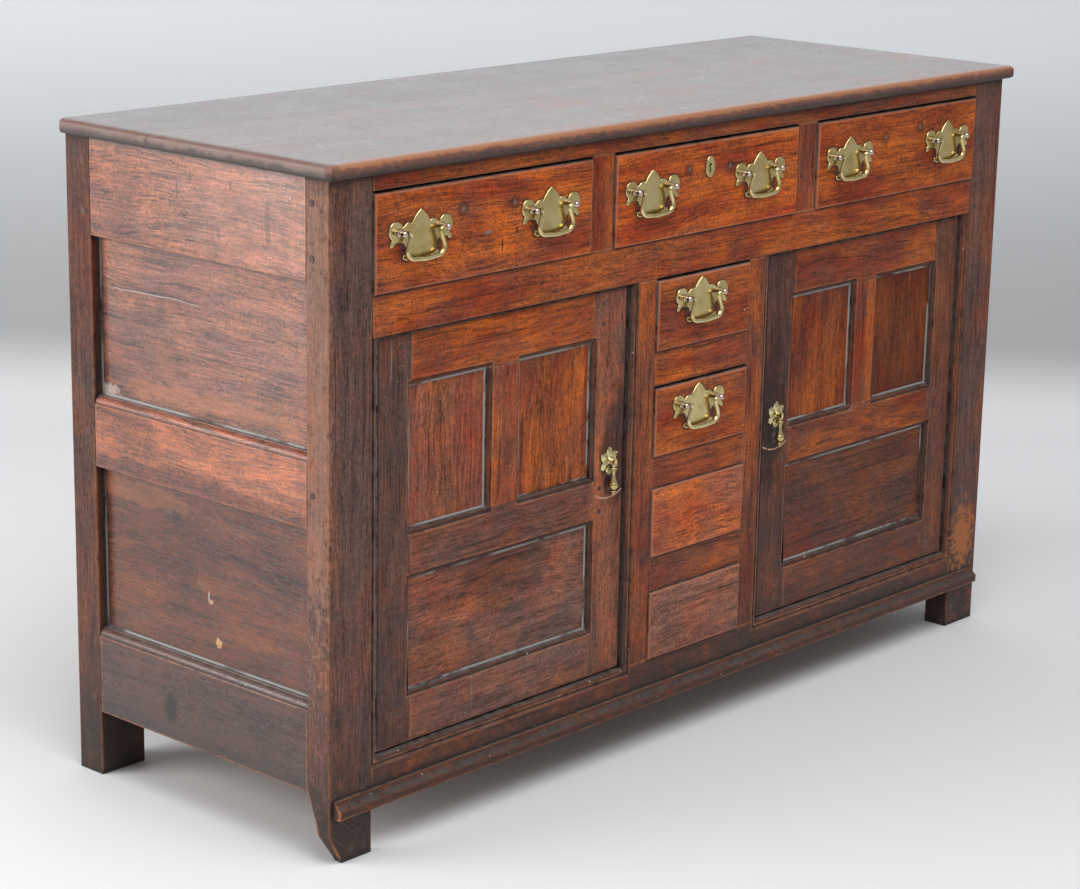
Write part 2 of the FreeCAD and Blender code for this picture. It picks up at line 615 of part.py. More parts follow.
drawer_rail_tools = [pair[0] for pair in muntin_tenons] + [pair[1] for pair in centre_stile_tenons]
drawer_rail_tools += front_pegs + [pivot_holes["Left"][0], pivot_holes["Right"][0]]
node("front_drawer_rail", [cut("DrawerRailDone", drawer_rail, drawer_rail_tools)])
bottom_rail_tools = [pair[0] for pair in centre_stile_tenons] + rail_rebates
node("front_bottom_rail", [cut("BottomRailDone", bottom_rail, bottom_rail_tools)])

# Base moulding along the front: a plain band under a shallow, sloping hollow

BASE_PROFILE = ((-10.6, 0), (-11.6, 0.4, -12, 1.4), (-12, 10.6), (-11.2, 11.6), (-6.8, 15.2, -3, 20),
                (-3, 21.5), (0, 21.5), (0, 0))
base_moulding = prism("BaseMoulding", (0, 0), BASE_PROFILE, ALONG_X, "base_left", "0", "base_bottom",
                      "carcase_width - base_left - base_right")
node("base_moulding", [base_moulding])

# Top: two boards with a lengthwise joint, rounded along the front and the ends


def top_edge(edge):
    """The radius of a top board's edge: upper and lower edges of the ends and the front."""
    middle = edge.CenterOfMass
    half_length = mm("carcase_width") / 2 + mm("top_end_overhang")
    outer_end = abs(middle.x - mm("carcase_width") / 2) > half_length - 0.1
    outer_front = middle.y < -mm("top_front_overhang") + 0.1
    if not (outer_end or outer_front):
        return 0
    if middle.z > mm("carcase_height") + mm("top_thickness") - 0.1:
        return mm("top_upper_round")
    if middle.z < mm("carcase_height") + 0.1:
        return mm("top_lower_round")
    return 0


for label, low, high in (("top_front_board", "0 - top_front_overhang", "top_joint"),
                         ("top_rear_board", "top_joint", "carcase_depth")):
    board = block("Blank_" + label, ("0 - top_end_overhang", "carcase_width + top_end_overhang"), (low, high),
                  ("carcase_height", "carcase_height + top_thickness"))
    node(label, [rounded("Rounded_" + label, board, top_edge)])

# Cupboard floor on its bearers, and the boards beside the small drawers

FLOOR_BOARDS = 3
floor_under = RAIL_TOP + " - floor_thickness"
floor_depth = "(%s - frame_thickness) / %d" % (REAR_RAIL_FRONT, FLOOR_BOARDS)
floor = []
for row in range(FLOOR_BOARDS):
    front = "frame_thickness + (%s) * %d" % (floor_depth, row)
    board = block("FloorBoard%d" % row, ("end_thickness", "carcase_width - end_thickness"),
                  (front, "%s + %s" % (front, floor_depth)), (floor_under, RAIL_TOP))
    floor.append(cut("FloorBoard%dDone" % row, board, front_blocks + rear_blocks))
for name, front in (("FloorBearerFront", "frame_thickness"),
                    ("FloorBearerRear", REAR_STILE + " - bearer")):
    floor.append(block(name, ("stile_width", RIGHT_STILE), (front, front + " + bearer"),
                       (floor_under + " - bearer", floor_under)))
node("cupboard_floor", floor)

runner_sill = "drawer_rail_top - runner_thickness"
partitions = []
for hand, low in (("Left", CENTRE_LEFT + " - partition_thickness"), ("Right", CENTRE_RIGHT)):
    partitions.append(block("Partition" + hand, (low, low + " + partition_thickness"),
                            ("frame_thickness", REAR_RAIL_FRONT), (RAIL_TOP, runner_sill)))
node("partitions", partitions)

# Runners, guides and kickers of the drawers

runners = []
left_middle = "muntin_inset + muntin_width / 2 - runner_width / 2"
for name, low, high, front, rear in (
        ("LeftEnd", "end_thickness", "end_thickness + runner_width", "stile_depth", REAR_STILE),
        ("LeftMiddle", left_middle, left_middle + " + runner_width", "frame_thickness", REAR_RAIL_FRONT),
        ("RightMiddle", "carcase_width - (%s) - runner_width" % left_middle,
         "carcase_width - (%s)" % left_middle, "frame_thickness", REAR_RAIL_FRONT),
        ("RightEnd", "carcase_width - end_thickness - runner_width", "carcase_width - end_thickness",
         "stile_depth", REAR_STILE)):
    if name == "LeftEnd":
        guide = (low, "stile_width")
    elif name == "RightEnd":
        guide = (RIGHT_STILE, high)
    elif name == "LeftMiddle":
        guide = ("muntin_inset", "muntin_inset + muntin_width")
    else:
        guide = (RIGHT_MUNTIN, RIGHT_MUNTIN + " + muntin_width")
    runners.append(block("Runner" + name, (low, high), (front, rear), (runner_sill, "drawer_rail_top")))
    runners.append(block("Guide" + name, guide, (front, rear),
                         ("drawer_rail_top", "drawer_rail_top + guide_height")))
    runners.append(block("Kicker" + name, (low, high), (front, rear), ("top_rail_bottom", "carcase_height")))
for level, sill in (("Upper", "upper_drawer_bottom"), ("Lower", "lower_drawer_bottom")):
    for hand, low in (("Left", CENTRE_LEFT), ("Right", CENTRE_RIGHT + " - bearer")):
        runners.append(block("SmallRunner%s%s" % (level, hand), (low, low + " + bearer"),
                             ("frame_thickness", REAR_RAIL_FRONT), (sill + " - bearer", sill)))
node("drawer_runners", runners)

# Handles: a shaped brass plate, two posts with ball heads and a swan-necked bail

PLATE_TIP = 24.8
PLATE_RIGHT_HALF = (
    (2.5, 23.4), (9.4, 17.2, 15.0, 9.6), (20.6, 11.4, 25.8, 8.4), (29.5, 6.0), (48.6, 10.6, 46.6, -7.2),
    (50.2, -11.5), (49.6, -15.9), (45.2, -15.4), (41.5, -12.0, 36.0, -11.9), (32.0, -11.2),
    (26.2, -15.0, 24.0, -20.5), (23.6, -24.0, 25.4, -26.2), (29.6, -28.6, 27.0, -32.0),
    (22.4, -33.4, 17.0, -30.8), (9.0, -33.2, 0, -32.6))


def mirrored(steps, tip):
    """The left half of an outline, drawn back up from the foot of its right half to the tip."""
    ends = [tip] + [step[-2:] for step in steps]
    back = []
    for index in range(len(steps) - 1, -1, -1):
        step = steps[index]
        arc = (-step[0], step[1]) if len(step) == 4 else ()
        back.append(arc + (-ends[index][0], ends[index][1]))
    return back


plate_tip = (0, PLATE_TIP)
plate = doc.addObject("PartDesign::Body", "HandlePlate")
plate_outline = body_sketch(plate, "HandlePlateOutline", "XZ_Plane", plate_tip,
                            list(PLATE_RIGHT_HALF) + mirrored(PLATE_RIGHT_HALF, plate_tip))
plate_pad = plate.newObject("PartDesign::Pad", "HandlePlatePad")
plate_pad.Profile = plate_outline
plate_pad.setExpression("Length", formula("plate_thickness"))
shank_holes = plate.newObject("Sketcher::SketchObject", "HandlePlateHoles")
shank_holes.AttachmentSupport = [(plane_of(plate, "XZ_Plane"), "")]
shank_holes.MapMode = "FlatFace"
for side in (-1, 1):
    centre = Vector(side * mm("post_spacing") / 2, 0, 0)
    shank_holes.addGeometry(Part.Circle(centre, Vector(0, 0, 1), mm("shank_radius")))
plate_holes = plate.newObject("PartDesign::Pocket", "HandlePlatePocket")
plate_holes.Profile = shank_holes
plate_holes.Type = "ThroughAll"
plate_holes.Midplane = True
doc.recompute()

POST_FLANGE = 4.6
FLANGE_RIM = 1.2
FLANGE_RISE = 2.2
POST_NECK = 2.9
POST_TAIL = 4.0
ball = mm("ball_radius")
pivot = mm("plate_thickness") + mm("post_rise")
shank = mm("shank_radius")
tail = -(mm("drawer_front") + POST_TAIL)
ball_foot = pivot - (ball ** 2 - POST_NECK ** 2) ** 0.5
post = turned("HandlePost", "XY_Plane", (0, tail),
              ((shank, tail), (shank, mm("plate_thickness")), (POST_FLANGE, mm("plate_thickness")),
               (POST_FLANGE, mm("plate_thickness") + FLANGE_RIM),
               (POST_NECK, mm("plate_thickness") + FLANGE_RISE),
               (POST_NECK, ball_foot), (ball, pivot, 0, pivot + ball), (0, tail)))
post_turned = doc.addObject("App::Link", "HandlePostTurned")
post_turned.LinkedObject = post
post_turned.LinkTransform = True
post_turned.Placement = FreeCAD.Placement(Vector(), FreeCAD.Rotation(Vector(0, 0, 1), 180))
pin_hole = cylinder("HandlePinHole", "pin_radius + pin_clearance", "ball_radius * 2 + 2",
                    "0 - ball_radius - 1", "0 - plate_thickness - post_rise", "0", TOWARDS_RIGHT)
post_done = cut("HandlePostDone", post_turned, [pin_hole])

BAIL_START = 30.6
BAIL_POINTS = ((22.4, 0.0), (31.4, -23.0), (24.2, -30.6))
BAIL_BENDS = (3.4, 9.0, 12.0)
BAIL_FOOT_BEND = 60.0


def bent_path(points, radii):
    """Steps of straight runs through points, with each corner bent to its radius."""
    steps = []
    for index in range(1, len(points) - 1):
        corner = Vector(*points[index], 0)
        back = (Vector(*points[index - 1], 0) - corner).normalize()
        on = (Vector(*points[index + 1], 0) - corner).normalize()
        half = back.getAngle(on) / 2
        radius = radii[index - 1]
        inset = radius / math.tan(half)
        centre = corner + (back + on).normalize() * (radius / math.sin(half))
        first = corner + back * inset
        last = corner + on * inset
        middle = centre + (corner - centre).normalize() * radius
        steps.append((first.x, first.y))
        steps.append((middle.x, middle.y, last.x, last.y))
    steps.append(points[-1])
    return steps


foot_point = (0.0, -mm("bail_drop"))
half_points = [(BAIL_START, 0.0)] + list(BAIL_POINTS) + [foot_point]
whole_points = half_points + [(-x, y) for x, y in reversed(half_points[:-1])]
bail_path = doc.addObject("Sketcher::SketchObject", "BailPath")
draw(bail_path, whole_points[0], bent_path(whole_points, BAIL_BENDS + (BAIL_FOOT_BEND,) + BAIL_BENDS[::-1]))
bail_path.Placement = FreeCAD.Placement(Vector(), FACING_FRONT)
bail_section = doc.addObject("Sketcher::SketchObject", "BailSection")
bail_section.addGeometry(Part.Circle(Vector(), Vector(0, 0, 1), mm("bail_radius")))
bail_section.Placement = FreeCAD.Placement(Vector(BAIL_START, 0, 0), TOWARDS_RIGHT)
doc.recompute()
bail_wire = doc.addObject("Part::Sweep", "BailWire")
bail_wire.Sections = [bail_section]
bail_wire.Spine = (bail_path, ["Edge%d" % number for number in range(1, len(bail_path.Shape.Edges) + 1)])
bail_wire.Solid = True
pin_end = "post_spacing / 2 + pin_reach"
pin_length = pin_end + " - %r" % BAIL_START
bail_pins = [cylinder("BailPin" + hand, "pin_radius", pin_length, start, "0", "0", TOWARDS_RIGHT)
             for hand, start in (("Left", "0 - (%s)" % pin_end), ("Right", "%r" % BAIL_START))]
bail = fused("Bail", [bail_wire] + bail_pins)

# Key plate and lock of the middle frieze drawer

KEY_RADIUS = 2.6
KEY_SLOT = 2.4
KEY_DROP = 7.0
key_plate = doc.addObject("Part::Extrusion", "KeyPlate")
key_outline = doc.addObject("Sketcher::SketchObject", "KeyPlateOutline")
key_outline.addGeometry(Part.Ellipse(Vector(0, mm("escutcheon_height") / 2, 0),
                                     Vector(mm("escutcheon_width") / 2, 0, 0), Vector()))
key_outline.Placement = FreeCAD.Placement(Vector(), FACING_FRONT)
key_middle = "carcase_width / 2 - keyhole_shift"
place(key_outline, key_middle, "0 - drawer_proud", "keyhole_height")
key_plate.Base = key_outline
key_plate.DirMode = "Normal"
key_plate.Solid = True
key_plate.setExpression("LengthFwd", formula("plate_thickness"))
key_reach = "drawer_front + lock_depth + plate_thickness + shoulder"
key_start = "0 - drawer_proud - plate_thickness - shoulder / 2"
keyhole = fused("Keyhole", [
    cylinder("KeyholeRound", "%r" % KEY_RADIUS, key_reach, key_middle, key_start,
             "keyhole_height + shoulder / 2", TOWARDS_BACK),
    block("KeyholeSlot", ("%s - %r" % (key_middle, KEY_SLOT / 2), "%s + %r" % (key_middle, KEY_SLOT / 2)),
          (key_start, "%s + %s" % (key_start, key_reach)),
          ("keyhole_height - %r" % KEY_DROP, "keyhole_height + shoulder / 2"))])
lock_case = block("LockCase", ("%s - lock_width / 2" % key_middle, "%s + lock_width / 2" % key_middle),
                  ("drawer_front - drawer_proud", "drawer_front - drawer_proud + lock_depth"),
                  ("keyhole_height - lock_height / 2", "keyhole_height + lock_height / 2"))
node("middle_drawer_lock", [cut("LockCaseDone", lock_case, [keyhole])])

# Drawers: dovetailed boxes with a bottom board in grooves

TAILS = 3
TAIL_WIDE = 0.4
TAIL_NARROW = 0.3


def front_edge(edge):
    """Round the edges of a drawer front that lie in its face."""
    return mm("front_round") if edge.CenterOfMass.y < -mm("drawer_proud") + 0.1 and edge.Length > 1 else 0


def front_blank(name, left, right, sill, head):
    """A drawer front or fixed panel with its face edges rounded."""
    faces = ("0 - drawer_proud", "drawer_front - drawer_proud")
    board = block(name + "Front", (left, right), faces, (sill, head))
    return rounded(name + "FrontRounded", board, front_edge)


def dovetails(name, low, foot, head):
    """The tails at the front end of a drawer side, wider towards the drawer's face."""
    pitch = "((%s) - (%s)) / %d" % (head, foot, TAILS)
    tails = []
    for row in range(TAILS):
        middle = "%s + %s * %r" % (foot, pitch, row + 0.5)
        tail = doc.addObject("Part::Wedge", "%sTail%d" % (name, row))
        for key, words in (("Xmin", low), ("Xmax", low + " + drawer_side"),
                           ("X2min", low), ("X2max", low + " + drawer_side"),
                           ("Ymin", "drawer_lap - drawer_proud"), ("Ymax", "drawer_front - drawer_proud"),
                           ("Zmin", "%s - %s * %r" % (middle, pitch, TAIL_WIDE)),
                           ("Zmax", "%s + %s * %r" % (middle, pitch, TAIL_WIDE)),
                           ("Z2min", "%s - %s * %r" % (middle, pitch, TAIL_NARROW)),
                           ("Z2max", "%s + %s * %r" % (middle, pitch, TAIL_NARROW))):
            tail.setExpression(key, formula(words))
        tails.append(tail)
    return tails


def drawer(name, opening, handles, handle_height, fittings=()):
    """A drawer's front, box and brasses, in an opening given by its left, right, sill and head."""
    label = re.sub(r"(?<!^)(?=[A-Z])", "_", name).lower()
    left = opening[0] + " + drawer_gap"
    right = opening[1] + " - drawer_gap"
    sill = opening[2] + " + drawer_lift"
    head = opening[3] + " - drawer_top_gap"
    side_head = head + " - drawer_side_drop"
    rear = REAR_RAIL_FRONT + " - drawer_rear_gap"
    inside = "drawer_front - drawer_proud"
    board = block(name + "BottomBoard", (left + " + drawer_side / 2", right + " - drawer_side / 2"),
                  (inside + " - drawer_board", rear),
                  (sill + " + drawer_board_rise", sill + " + drawer_board_rise + drawer_board"))
    box = [board]
    sockets = []
    for hand, low in (("Left", left), ("Right", right + " - drawer_side")):
        tails = dovetails(name + hand, low, sill, side_head)
        plank = block(name + hand + "Plank", (low, low + " + drawer_side"), (inside, rear), (sill, side_head))
        box.append(cut(name + hand + "Side", fused(name + hand + "Blank", [plank] + tails), [board]))
        sockets += tails
    box.append(block(name + "Back", (left + " + drawer_side", right + " - drawer_side"),
                     (rear + " - drawer_side * 2", rear + " - drawer_side"),
                     (sill + " + drawer_board_rise + drawer_board", side_head)))
    brasses = []
    posts = []
    face = "0 - drawer_proud"
    for number, middle in enumerate(handles):
        brasses.append(copy_of("%sPlate%d" % (name, number), plate, middle, face, handle_height))
        for hand, sign in (("Left", "-"), ("Right", "+")):
            spot = "%s %s post_spacing / 2" % (middle, sign)
            posts.append(copy_of("%sPost%s%d" % (name, hand, number), post_done, spot, face, handle_height))
    blank = front_blank(name, left, right, sill, head)
    front = cut(name + "FrontDone", blank, sockets + [board] + posts + [hole for hole, _ in fittings])
    node(label + "_front", [front])
    node(label + "_box", box)
    node(label + "_brasses", brasses + posts + [piece for _, piece in fittings])
    pivot_line = "0 - drawer_proud - plate_thickness - post_rise"
    sides = ("_left", "_right") if len(handles) == 2 else ("",)
    for number, middle in enumerate(handles):
        hung = copy_of("%sBail%d" % (name, number), bail, middle, pivot_line, handle_height)
        node(label + sides[number] + "_bail", [hung])


FRIEZE = (("Left", "stile_width", "muntin_inset"),
          ("Middle", "muntin_inset + muntin_width", RIGHT_MUNTIN),
          ("Right", RIGHT_MUNTIN + " + muntin_width", RIGHT_STILE))
for name, left, right in FRIEZE:
    cells = name.lower() + "_handle"
    middle = "(%s + %s) / 2 - %s_shift" % (left, right, cells)
    handles = ["%s %s %s_spacing / 2" % (middle, sign, cells) for sign in "-+"]
    fittings = [(keyhole, cut("KeyPlateDone", key_plate, [keyhole]))] if name == "Middle" else []
    opening = (left, right, "drawer_rail_top", "top_rail_bottom")
    drawer(name + "Drawer", opening, handles, "frieze_handle_height", fittings)

SMALL = (("UpperSmallDrawer", "upper_drawer_bottom", "drawer_rail_bottom"),
         ("LowerSmallDrawer", "lower_drawer_bottom", "lower_drawer_top"))
for name, sill, head in SMALL:
    drawer(name, (CENTRE_LEFT, CENTRE_RIGHT, sill, head), ("centre_axis - small_handle_shift",),
           "%s - drawer_top_gap - small_handle_drop" % head)

fixed_panels = [front_blank("FixedPanel" + level, CENTRE_LEFT + " + drawer_gap / 2",
                            CENTRE_RIGHT + " - drawer_gap / 2", sill + " + drawer_gap / 2",
                            head + " - drawer_gap / 2")
                for level, sill, head in (("Upper", "upper_panel_bottom", "upper_panel_top"),
                                          ("Lower", RAIL_TOP, "lower_panel_top"))]
node("dummy_panels", fixed_panels)

# Doors: two panels over one in a pegged frame, moulded round every panel, on iron pivots

STICK_QUIRK = 1.8
STICK_BEAD = 4.3
STICK_OVERRUN = 2.0
RING_FACING = FreeCAD.Rotation(Vector(0, 0, -1), Vector(0, 1, 0), Vector(1, 0, 0), "ZXY")


def ring(name, xs, zs):
    """The wood planed away round one panel: a quirked bead swept round its edge, with mitred corners."""
    wide = mm("sticking")
    bead_start = (wide - 1.1, STICK_QUIRK)
    bead_middle = (bead_start[0] - STICK_BEAD * SIN_45, bead_start[1] + STICK_BEAD * (1 - SIN_45))
    bead_end = (bead_start[0] - STICK_BEAD, bead_start[1] + STICK_BEAD)
    section = doc.addObject("Sketcher::SketchObject", name + "Section")
    draw(section, (-STICK_OVERRUN, -STICK_OVERRUN),
         ((wide, -STICK_OVERRUN), (wide, STICK_QUIRK), bead_start, bead_middle + bead_end,
          (-STICK_OVERRUN, bead_end[1]), (-STICK_OVERRUN, -STICK_OVERRUN)))
    face = mm("door_recess")
    start = Vector((xs[0] + xs[1]) / 2, face, zs[0])
    section.Placement = FreeCAD.Placement(start, RING_FACING)
    path = doc.addObject("Part::Polygon", name + "Path")
    path.Nodes = [start, Vector(xs[1], face, zs[0]), Vector(xs[1], face, zs[1]), Vector(xs[0], face, zs[1]),
                  Vector(xs[0], face, zs[0]), start]
    doc.recompute()
    sweep = doc.addObject("Part::Sweep", name)
    sweep.Sections = [section]
    sweep.Spine = (path, ["Edge%d" % number for number in range(1, len(path.Nodes))])
    sweep.Solid = True
    sweep.Transition = "Right corner"
    return sweep


# The drop's half outline, from its eye down: collar, neck, pear and finial
DROP_OUTLINE = ((2.4, -3.4), (2.4, -6.6), (4.6, -7.2), (4.6, -8.8), (3.4, -9.6), (4.0, -10.4), (4.0, -11.4),
                (2.6, -12.4), (2.3, -16.0), (3.3, -21.5), (5.2, -26.7), (6.5, -30.6, 2.5, -36.6), (4.2, -37.4),
                (4.2, -38.6), (2.6, -39.4), (1.8, -40.8), (2.25, -42.15, 0, -44.4), (0, -3.4))
BOSS_RADIUS = 8.0
BOSS_NECK = 4.0
BOSS_RISE = 3.0
HEAD_RADIUS = 3.2
HEAD_THICKNESS = 1.6
HEAD_GAP = 0.5
STAR_POINTS = 6

door_bottom = RAIL_TOP + " + door_gap"
door_top = "drawer_rail_bottom - door_gap"
door_back = "door_recess + door_thickness"
drop_turned = turned("Drop", "XZ_Plane", (0, -3.4), DROP_OUTLINE)
drop_eye = cylinder("DropEye", "eye_radius", "eye_thickness", "0", "0 - eye_thickness / 2", "0", TOWARDS_BACK)
eye_hole = cylinder("DropEyeHole", "stud_radius + pin_clearance", "eye_thickness + 2", "0",
                    "0 - eye_thickness / 2 - 1", "0", TOWARDS_BACK)
drop = cut("DropDone", fused("DropBlank", [drop_turned, drop_eye]), [eye_hole])

star = doc.addObject("PartDesign::Body", "StarPlate")
star_corners = []
for number in range(STAR_POINTS * 2):
    radius = mm("star_radius") if number % 2 == 0 else mm("star_waist")
    angle = math.radians(90 + 180.0 * number / STAR_POINTS)
    star_corners.append((radius * math.cos(angle), radius * math.sin(angle)))
star_sides = star_corners[1:] + star_corners[:1]
star_outline = body_sketch(star, "StarOutline", "XZ_Plane", star_corners[0], star_sides)
star_pad = star.newObject("PartDesign::Pad", "StarPad")
star_pad.Profile = star_outline
star_pad.setExpression("Length", formula("plate_thickness"))
doc.recompute()
boss = doc.addObject("Part::Cone", "StarBoss")
boss.Radius1 = BOSS_RADIUS
boss.Radius2 = BOSS_NECK
boss.Height = BOSS_RISE
boss.Placement = FreeCAD.Placement(Vector(), FreeCAD.Rotation(Vector(1, 0, 0), 90))
place(boss, "0", "0 - plate_thickness", "0")
stud_end = "pull_stand + eye_thickness / 2 + %r" % HEAD_GAP
stud = cylinder("StarStud", "stud_radius", stud_end, "0", "0 - (%s)" % stud_end, "0", TOWARDS_BACK)
stud_head = cylinder("StarStudHead", "%r" % HEAD_RADIUS, "%r" % HEAD_THICKNESS, "0",
                     "0 - (%s) - %r" % (stud_end, HEAD_THICKNESS), "0", TOWARDS_BACK)
rose = fused("Rose", [star, boss, stud, stud_head])


def door(hand, hinge, free):
    """One door, from its hinge edge to its free edge; hand says which end of the carcase it hangs on."""
    label = hand.lower() + "_door"
    sign = "+" if hand == "Left" else "-"
    width = "(%s) - (%s)" % ((free, hinge) if hand == "Left" else (hinge, free))
    panel = "((%s) - door_hinge_stile - door_meeting_stile - door_muntin) / 2" % width
    first_muntin = "door_hinge_stile + %s" % panel
    second_muntin = first_muntin + " + door_muntin"
    meeting = "(%s) - door_meeting_stile" % width

    def from_hinge(near, far):
        """Limits across the door, measured from its hinge edge."""
        edges = ["%s %s (%s)" % (hinge, sign, words) for words in (near, far)]
        return tuple(edges if hand == "Left" else edges[::-1])

    def number(words):
        """The value of a sum of cells, for a path that has no expressions of its own."""
        probe = doc.addObject("App::FeaturePython", "Probe")
        probe.addProperty("App::PropertyFloat", "Size")
        probe.setExpression("Size", formula(words))
        doc.recompute()
        size = probe.Size
        doc.removeObject(probe.Name)
        return size

    faces = ("door_recess", door_back)
    cheeks = ("door_recess + door_panel_recess + 1", "door_recess + door_panel_recess + 1 + tenon_thickness")
    rail_span = from_hinge("door_hinge_stile + sticking", meeting + " - sticking")
    rails = {}
    rail_tenons = []
    inner_shoulder = "groove + shoulder"
    middle_rise = ("door_middle_rail_bottom - sticking", "door_middle_rail_top + sticking")
    for part, rise in (("Bottom", (door_bottom, "door_bottom_rail_top + sticking")), ("Middle", middle_rise),
                       ("Top", ("door_top_rail_bottom - sticking", door_top))):
        rails[part], tenons = tenoned(hand + "Door" + part, (rail_span, faces, rise), 0, cheeks,
                                      "end_tenon + groove", inner_shoulder)
        rail_tenons += tenons
    muntin_limits = (from_hinge(first_muntin + " - sticking", second_muntin + " + sticking"), faces,
                     ("door_middle_rail_top + sticking", "door_top_rail_bottom - sticking"))
    muntin, muntin_ends = tenoned(hand + "DoorMuntin", muntin_limits, 2, cheeks, "stub_tenon",
                                  inner_shoulder)

    panels = []
    rings = []
    for part, near, far, low, high in (
            ("HingeSide", "door_hinge_stile", first_muntin, "door_middle_rail_top", "door_top_rail_bottom"),
            ("MeetingSide", second_muntin, meeting, "door_middle_rail_top", "door_top_rail_bottom"),
            ("Lower", "door_hinge_stile", meeting, "door_bottom_rail_top", "door_middle_rail_bottom")):
        sight = from_hinge(near + " + sticking", far + " - sticking")
        rise = (low + " + sticking", high + " - sticking")
        field = ("door_recess + door_panel_recess", "door_recess + door_panel_recess + door_panel_thickness")
        panels.append(block(hand + "DoorPanel" + part, (sight[0] + " - groove", sight[1] + " + groove"),
                            field, (rise[0] + " - groove", rise[1] + " + groove")))
        rings.append(ring(hand + "DoorRing" + part, [number(words) for words in sight],
                          [number(words) for words in rise]))

    pegs = []
    for part, low, high in (("Bottom", door_bottom, "door_bottom_rail_top"),
                            ("Middle", "door_middle_rail_bottom", "door_middle_rail_top"),
                            ("Top", "door_top_rail_bottom", door_top)):
        for spot, inset in (("Hinge", "door_hinge_stile - door_peg_inset"),
                            ("Meeting", meeting + " + door_peg_inset")):
            for row, way in (("Low", "-"), ("High", "+")):
                height = "((%s) + (%s)) / 2 %s %s_peg_spread" % (low, high, way, part.lower())
                pegs.append(cylinder(hand + "DoorPeg" + part + spot + row, "door_peg_radius",
                                     "door_peg_length", "%s %s (%s)" % (hinge, sign, inset),
                                     "door_recess - peg_proud / 2", height, TOWARDS_BACK))

    axis = "%s %s pivot_inset" % (hinge, sign)
    depth = "door_recess + door_panel_recess"
    pin_length = "pivot_embed + door_gap + pivot_engagement"
    pivots = [cylinder(hand + "DoorPivot" + end, "pivot_radius", pin_length, axis, depth, foot, UPWARDS)
              for end, foot in (("Top", door_top + " - pivot_embed"),
                                ("Foot", door_bottom + " - door_gap - pivot_engagement"))]

    def hinge_edge(edge, at=number(hinge)):
        """Round the front corner of the door's hinge edge, so that it turns clear of the frame."""
        middle = edge.CenterOfMass
        on_corner = abs(middle.x - at) < 0.1 and abs(middle.y - mm("door_recess")) < 0.1
        return mm("door_edge_round") if on_corner and edge.Length > mm("carcase_height") / 2 else 0

    full_height = (door_bottom, door_top)
    hinge_blank = block(hand + "DoorHingeStile", from_hinge("0", "door_hinge_stile + sticking"), faces,
                        full_height)
    hinge_rounded = rounded(hand + "DoorHingeStileRounded", hinge_blank, hinge_edge)
    meeting_blank = block(hand + "DoorMeetingStile", from_hinge(meeting + " - sticking", width), faces,
                          full_height)
    frame_tools = rings + panels + pegs
    hinge_stile = cut(hand + "DoorHingeStileDone", hinge_rounded, frame_tools + rail_tenons + pivots)
    meeting_stile = cut(hand + "DoorMeetingStileDone", meeting_blank, frame_tools + rail_tenons)
    muntin_done = cut(hand + "DoorMuntinDone", muntin, rings + panels)
    node(label + "_stiles", [hinge_stile, meeting_stile, muntin_done])
    node(label + "_rails", [cut("%sDoor%sRailDone" % (hand, part), rail, frame_tools + muntin_ends)
                            for part, rail in rails.items()])
    node(label + "_panels", panels)
    node(label + "_pegs", pegs)
    node(label + "_pivots", pivots)
    pull = "%s %s ((%s) - pull_inset)" % (hinge, sign, width)
    node(label + "_rose", [copy_of(hand + "DoorRose", rose, pull, "door_recess", "pull_height")])
    node(label + "_drop", [copy_of(hand + "DoorDrop", drop, pull, "door_recess - pull_stand", "pull_height")])


door("Left", "stile_width + strip_width + door_gap", LEFT_CENTRE_STILE + " - strip_width - door_gap")
door("Right", "%s - strip_width - door_gap" % RIGHT_STILE, RIGHT_CENTRE_STILE + " + strip_width + door_gap")

# Check every object and write one file a node

doc.recompute()
failed = [item.Name for item in doc.Objects if {"Invalid", "Error"} & set(item.State)]
if failed:
    raise RuntimeError("objects failed: " + ", ".join(failed))
for group in nodes:
    if group.Shape.isNull() or not group.Shape.isValid() or not group.Shape.Solids:
        raise RuntimeError("bad shape: " + group.Label)
os.makedirs("parts", exist_ok=True)
for group in nodes:
    group.Shape.exportStep(os.path.join("parts", group.Label + ".step"))
whole = Part.makeCompound([group.Shape for group in nodes])
box = whole.BoundBox
print("%d nodes, %d solids" % (len(nodes), len(whole.Solids)))
print("box %.2f %.2f %.2f to %.2f %.2f %.2f" % (box.XMin, box.YMin, box.ZMin, box.XMax, box.YMax, box.ZMax))
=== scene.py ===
# %% [markdown]
# A joined oak dresser base, some two hundred and fifty years old: a pegged frame with panelled ends,
# three drawers in the frieze, two panelled doors and a column of small drawers between them.
# The imported model gives every board its place, so this lesson never moves one. It gives the boards worn
# arrises, old oak, wax and dust, with painted shade in the corners and painted highlights and sheen, and
# gives the handles their cast brass.

# %% Load the frame
import json
import math
import random
from functools import reduce

import bmesh
import bpy
from mathutils import Matrix, Vector

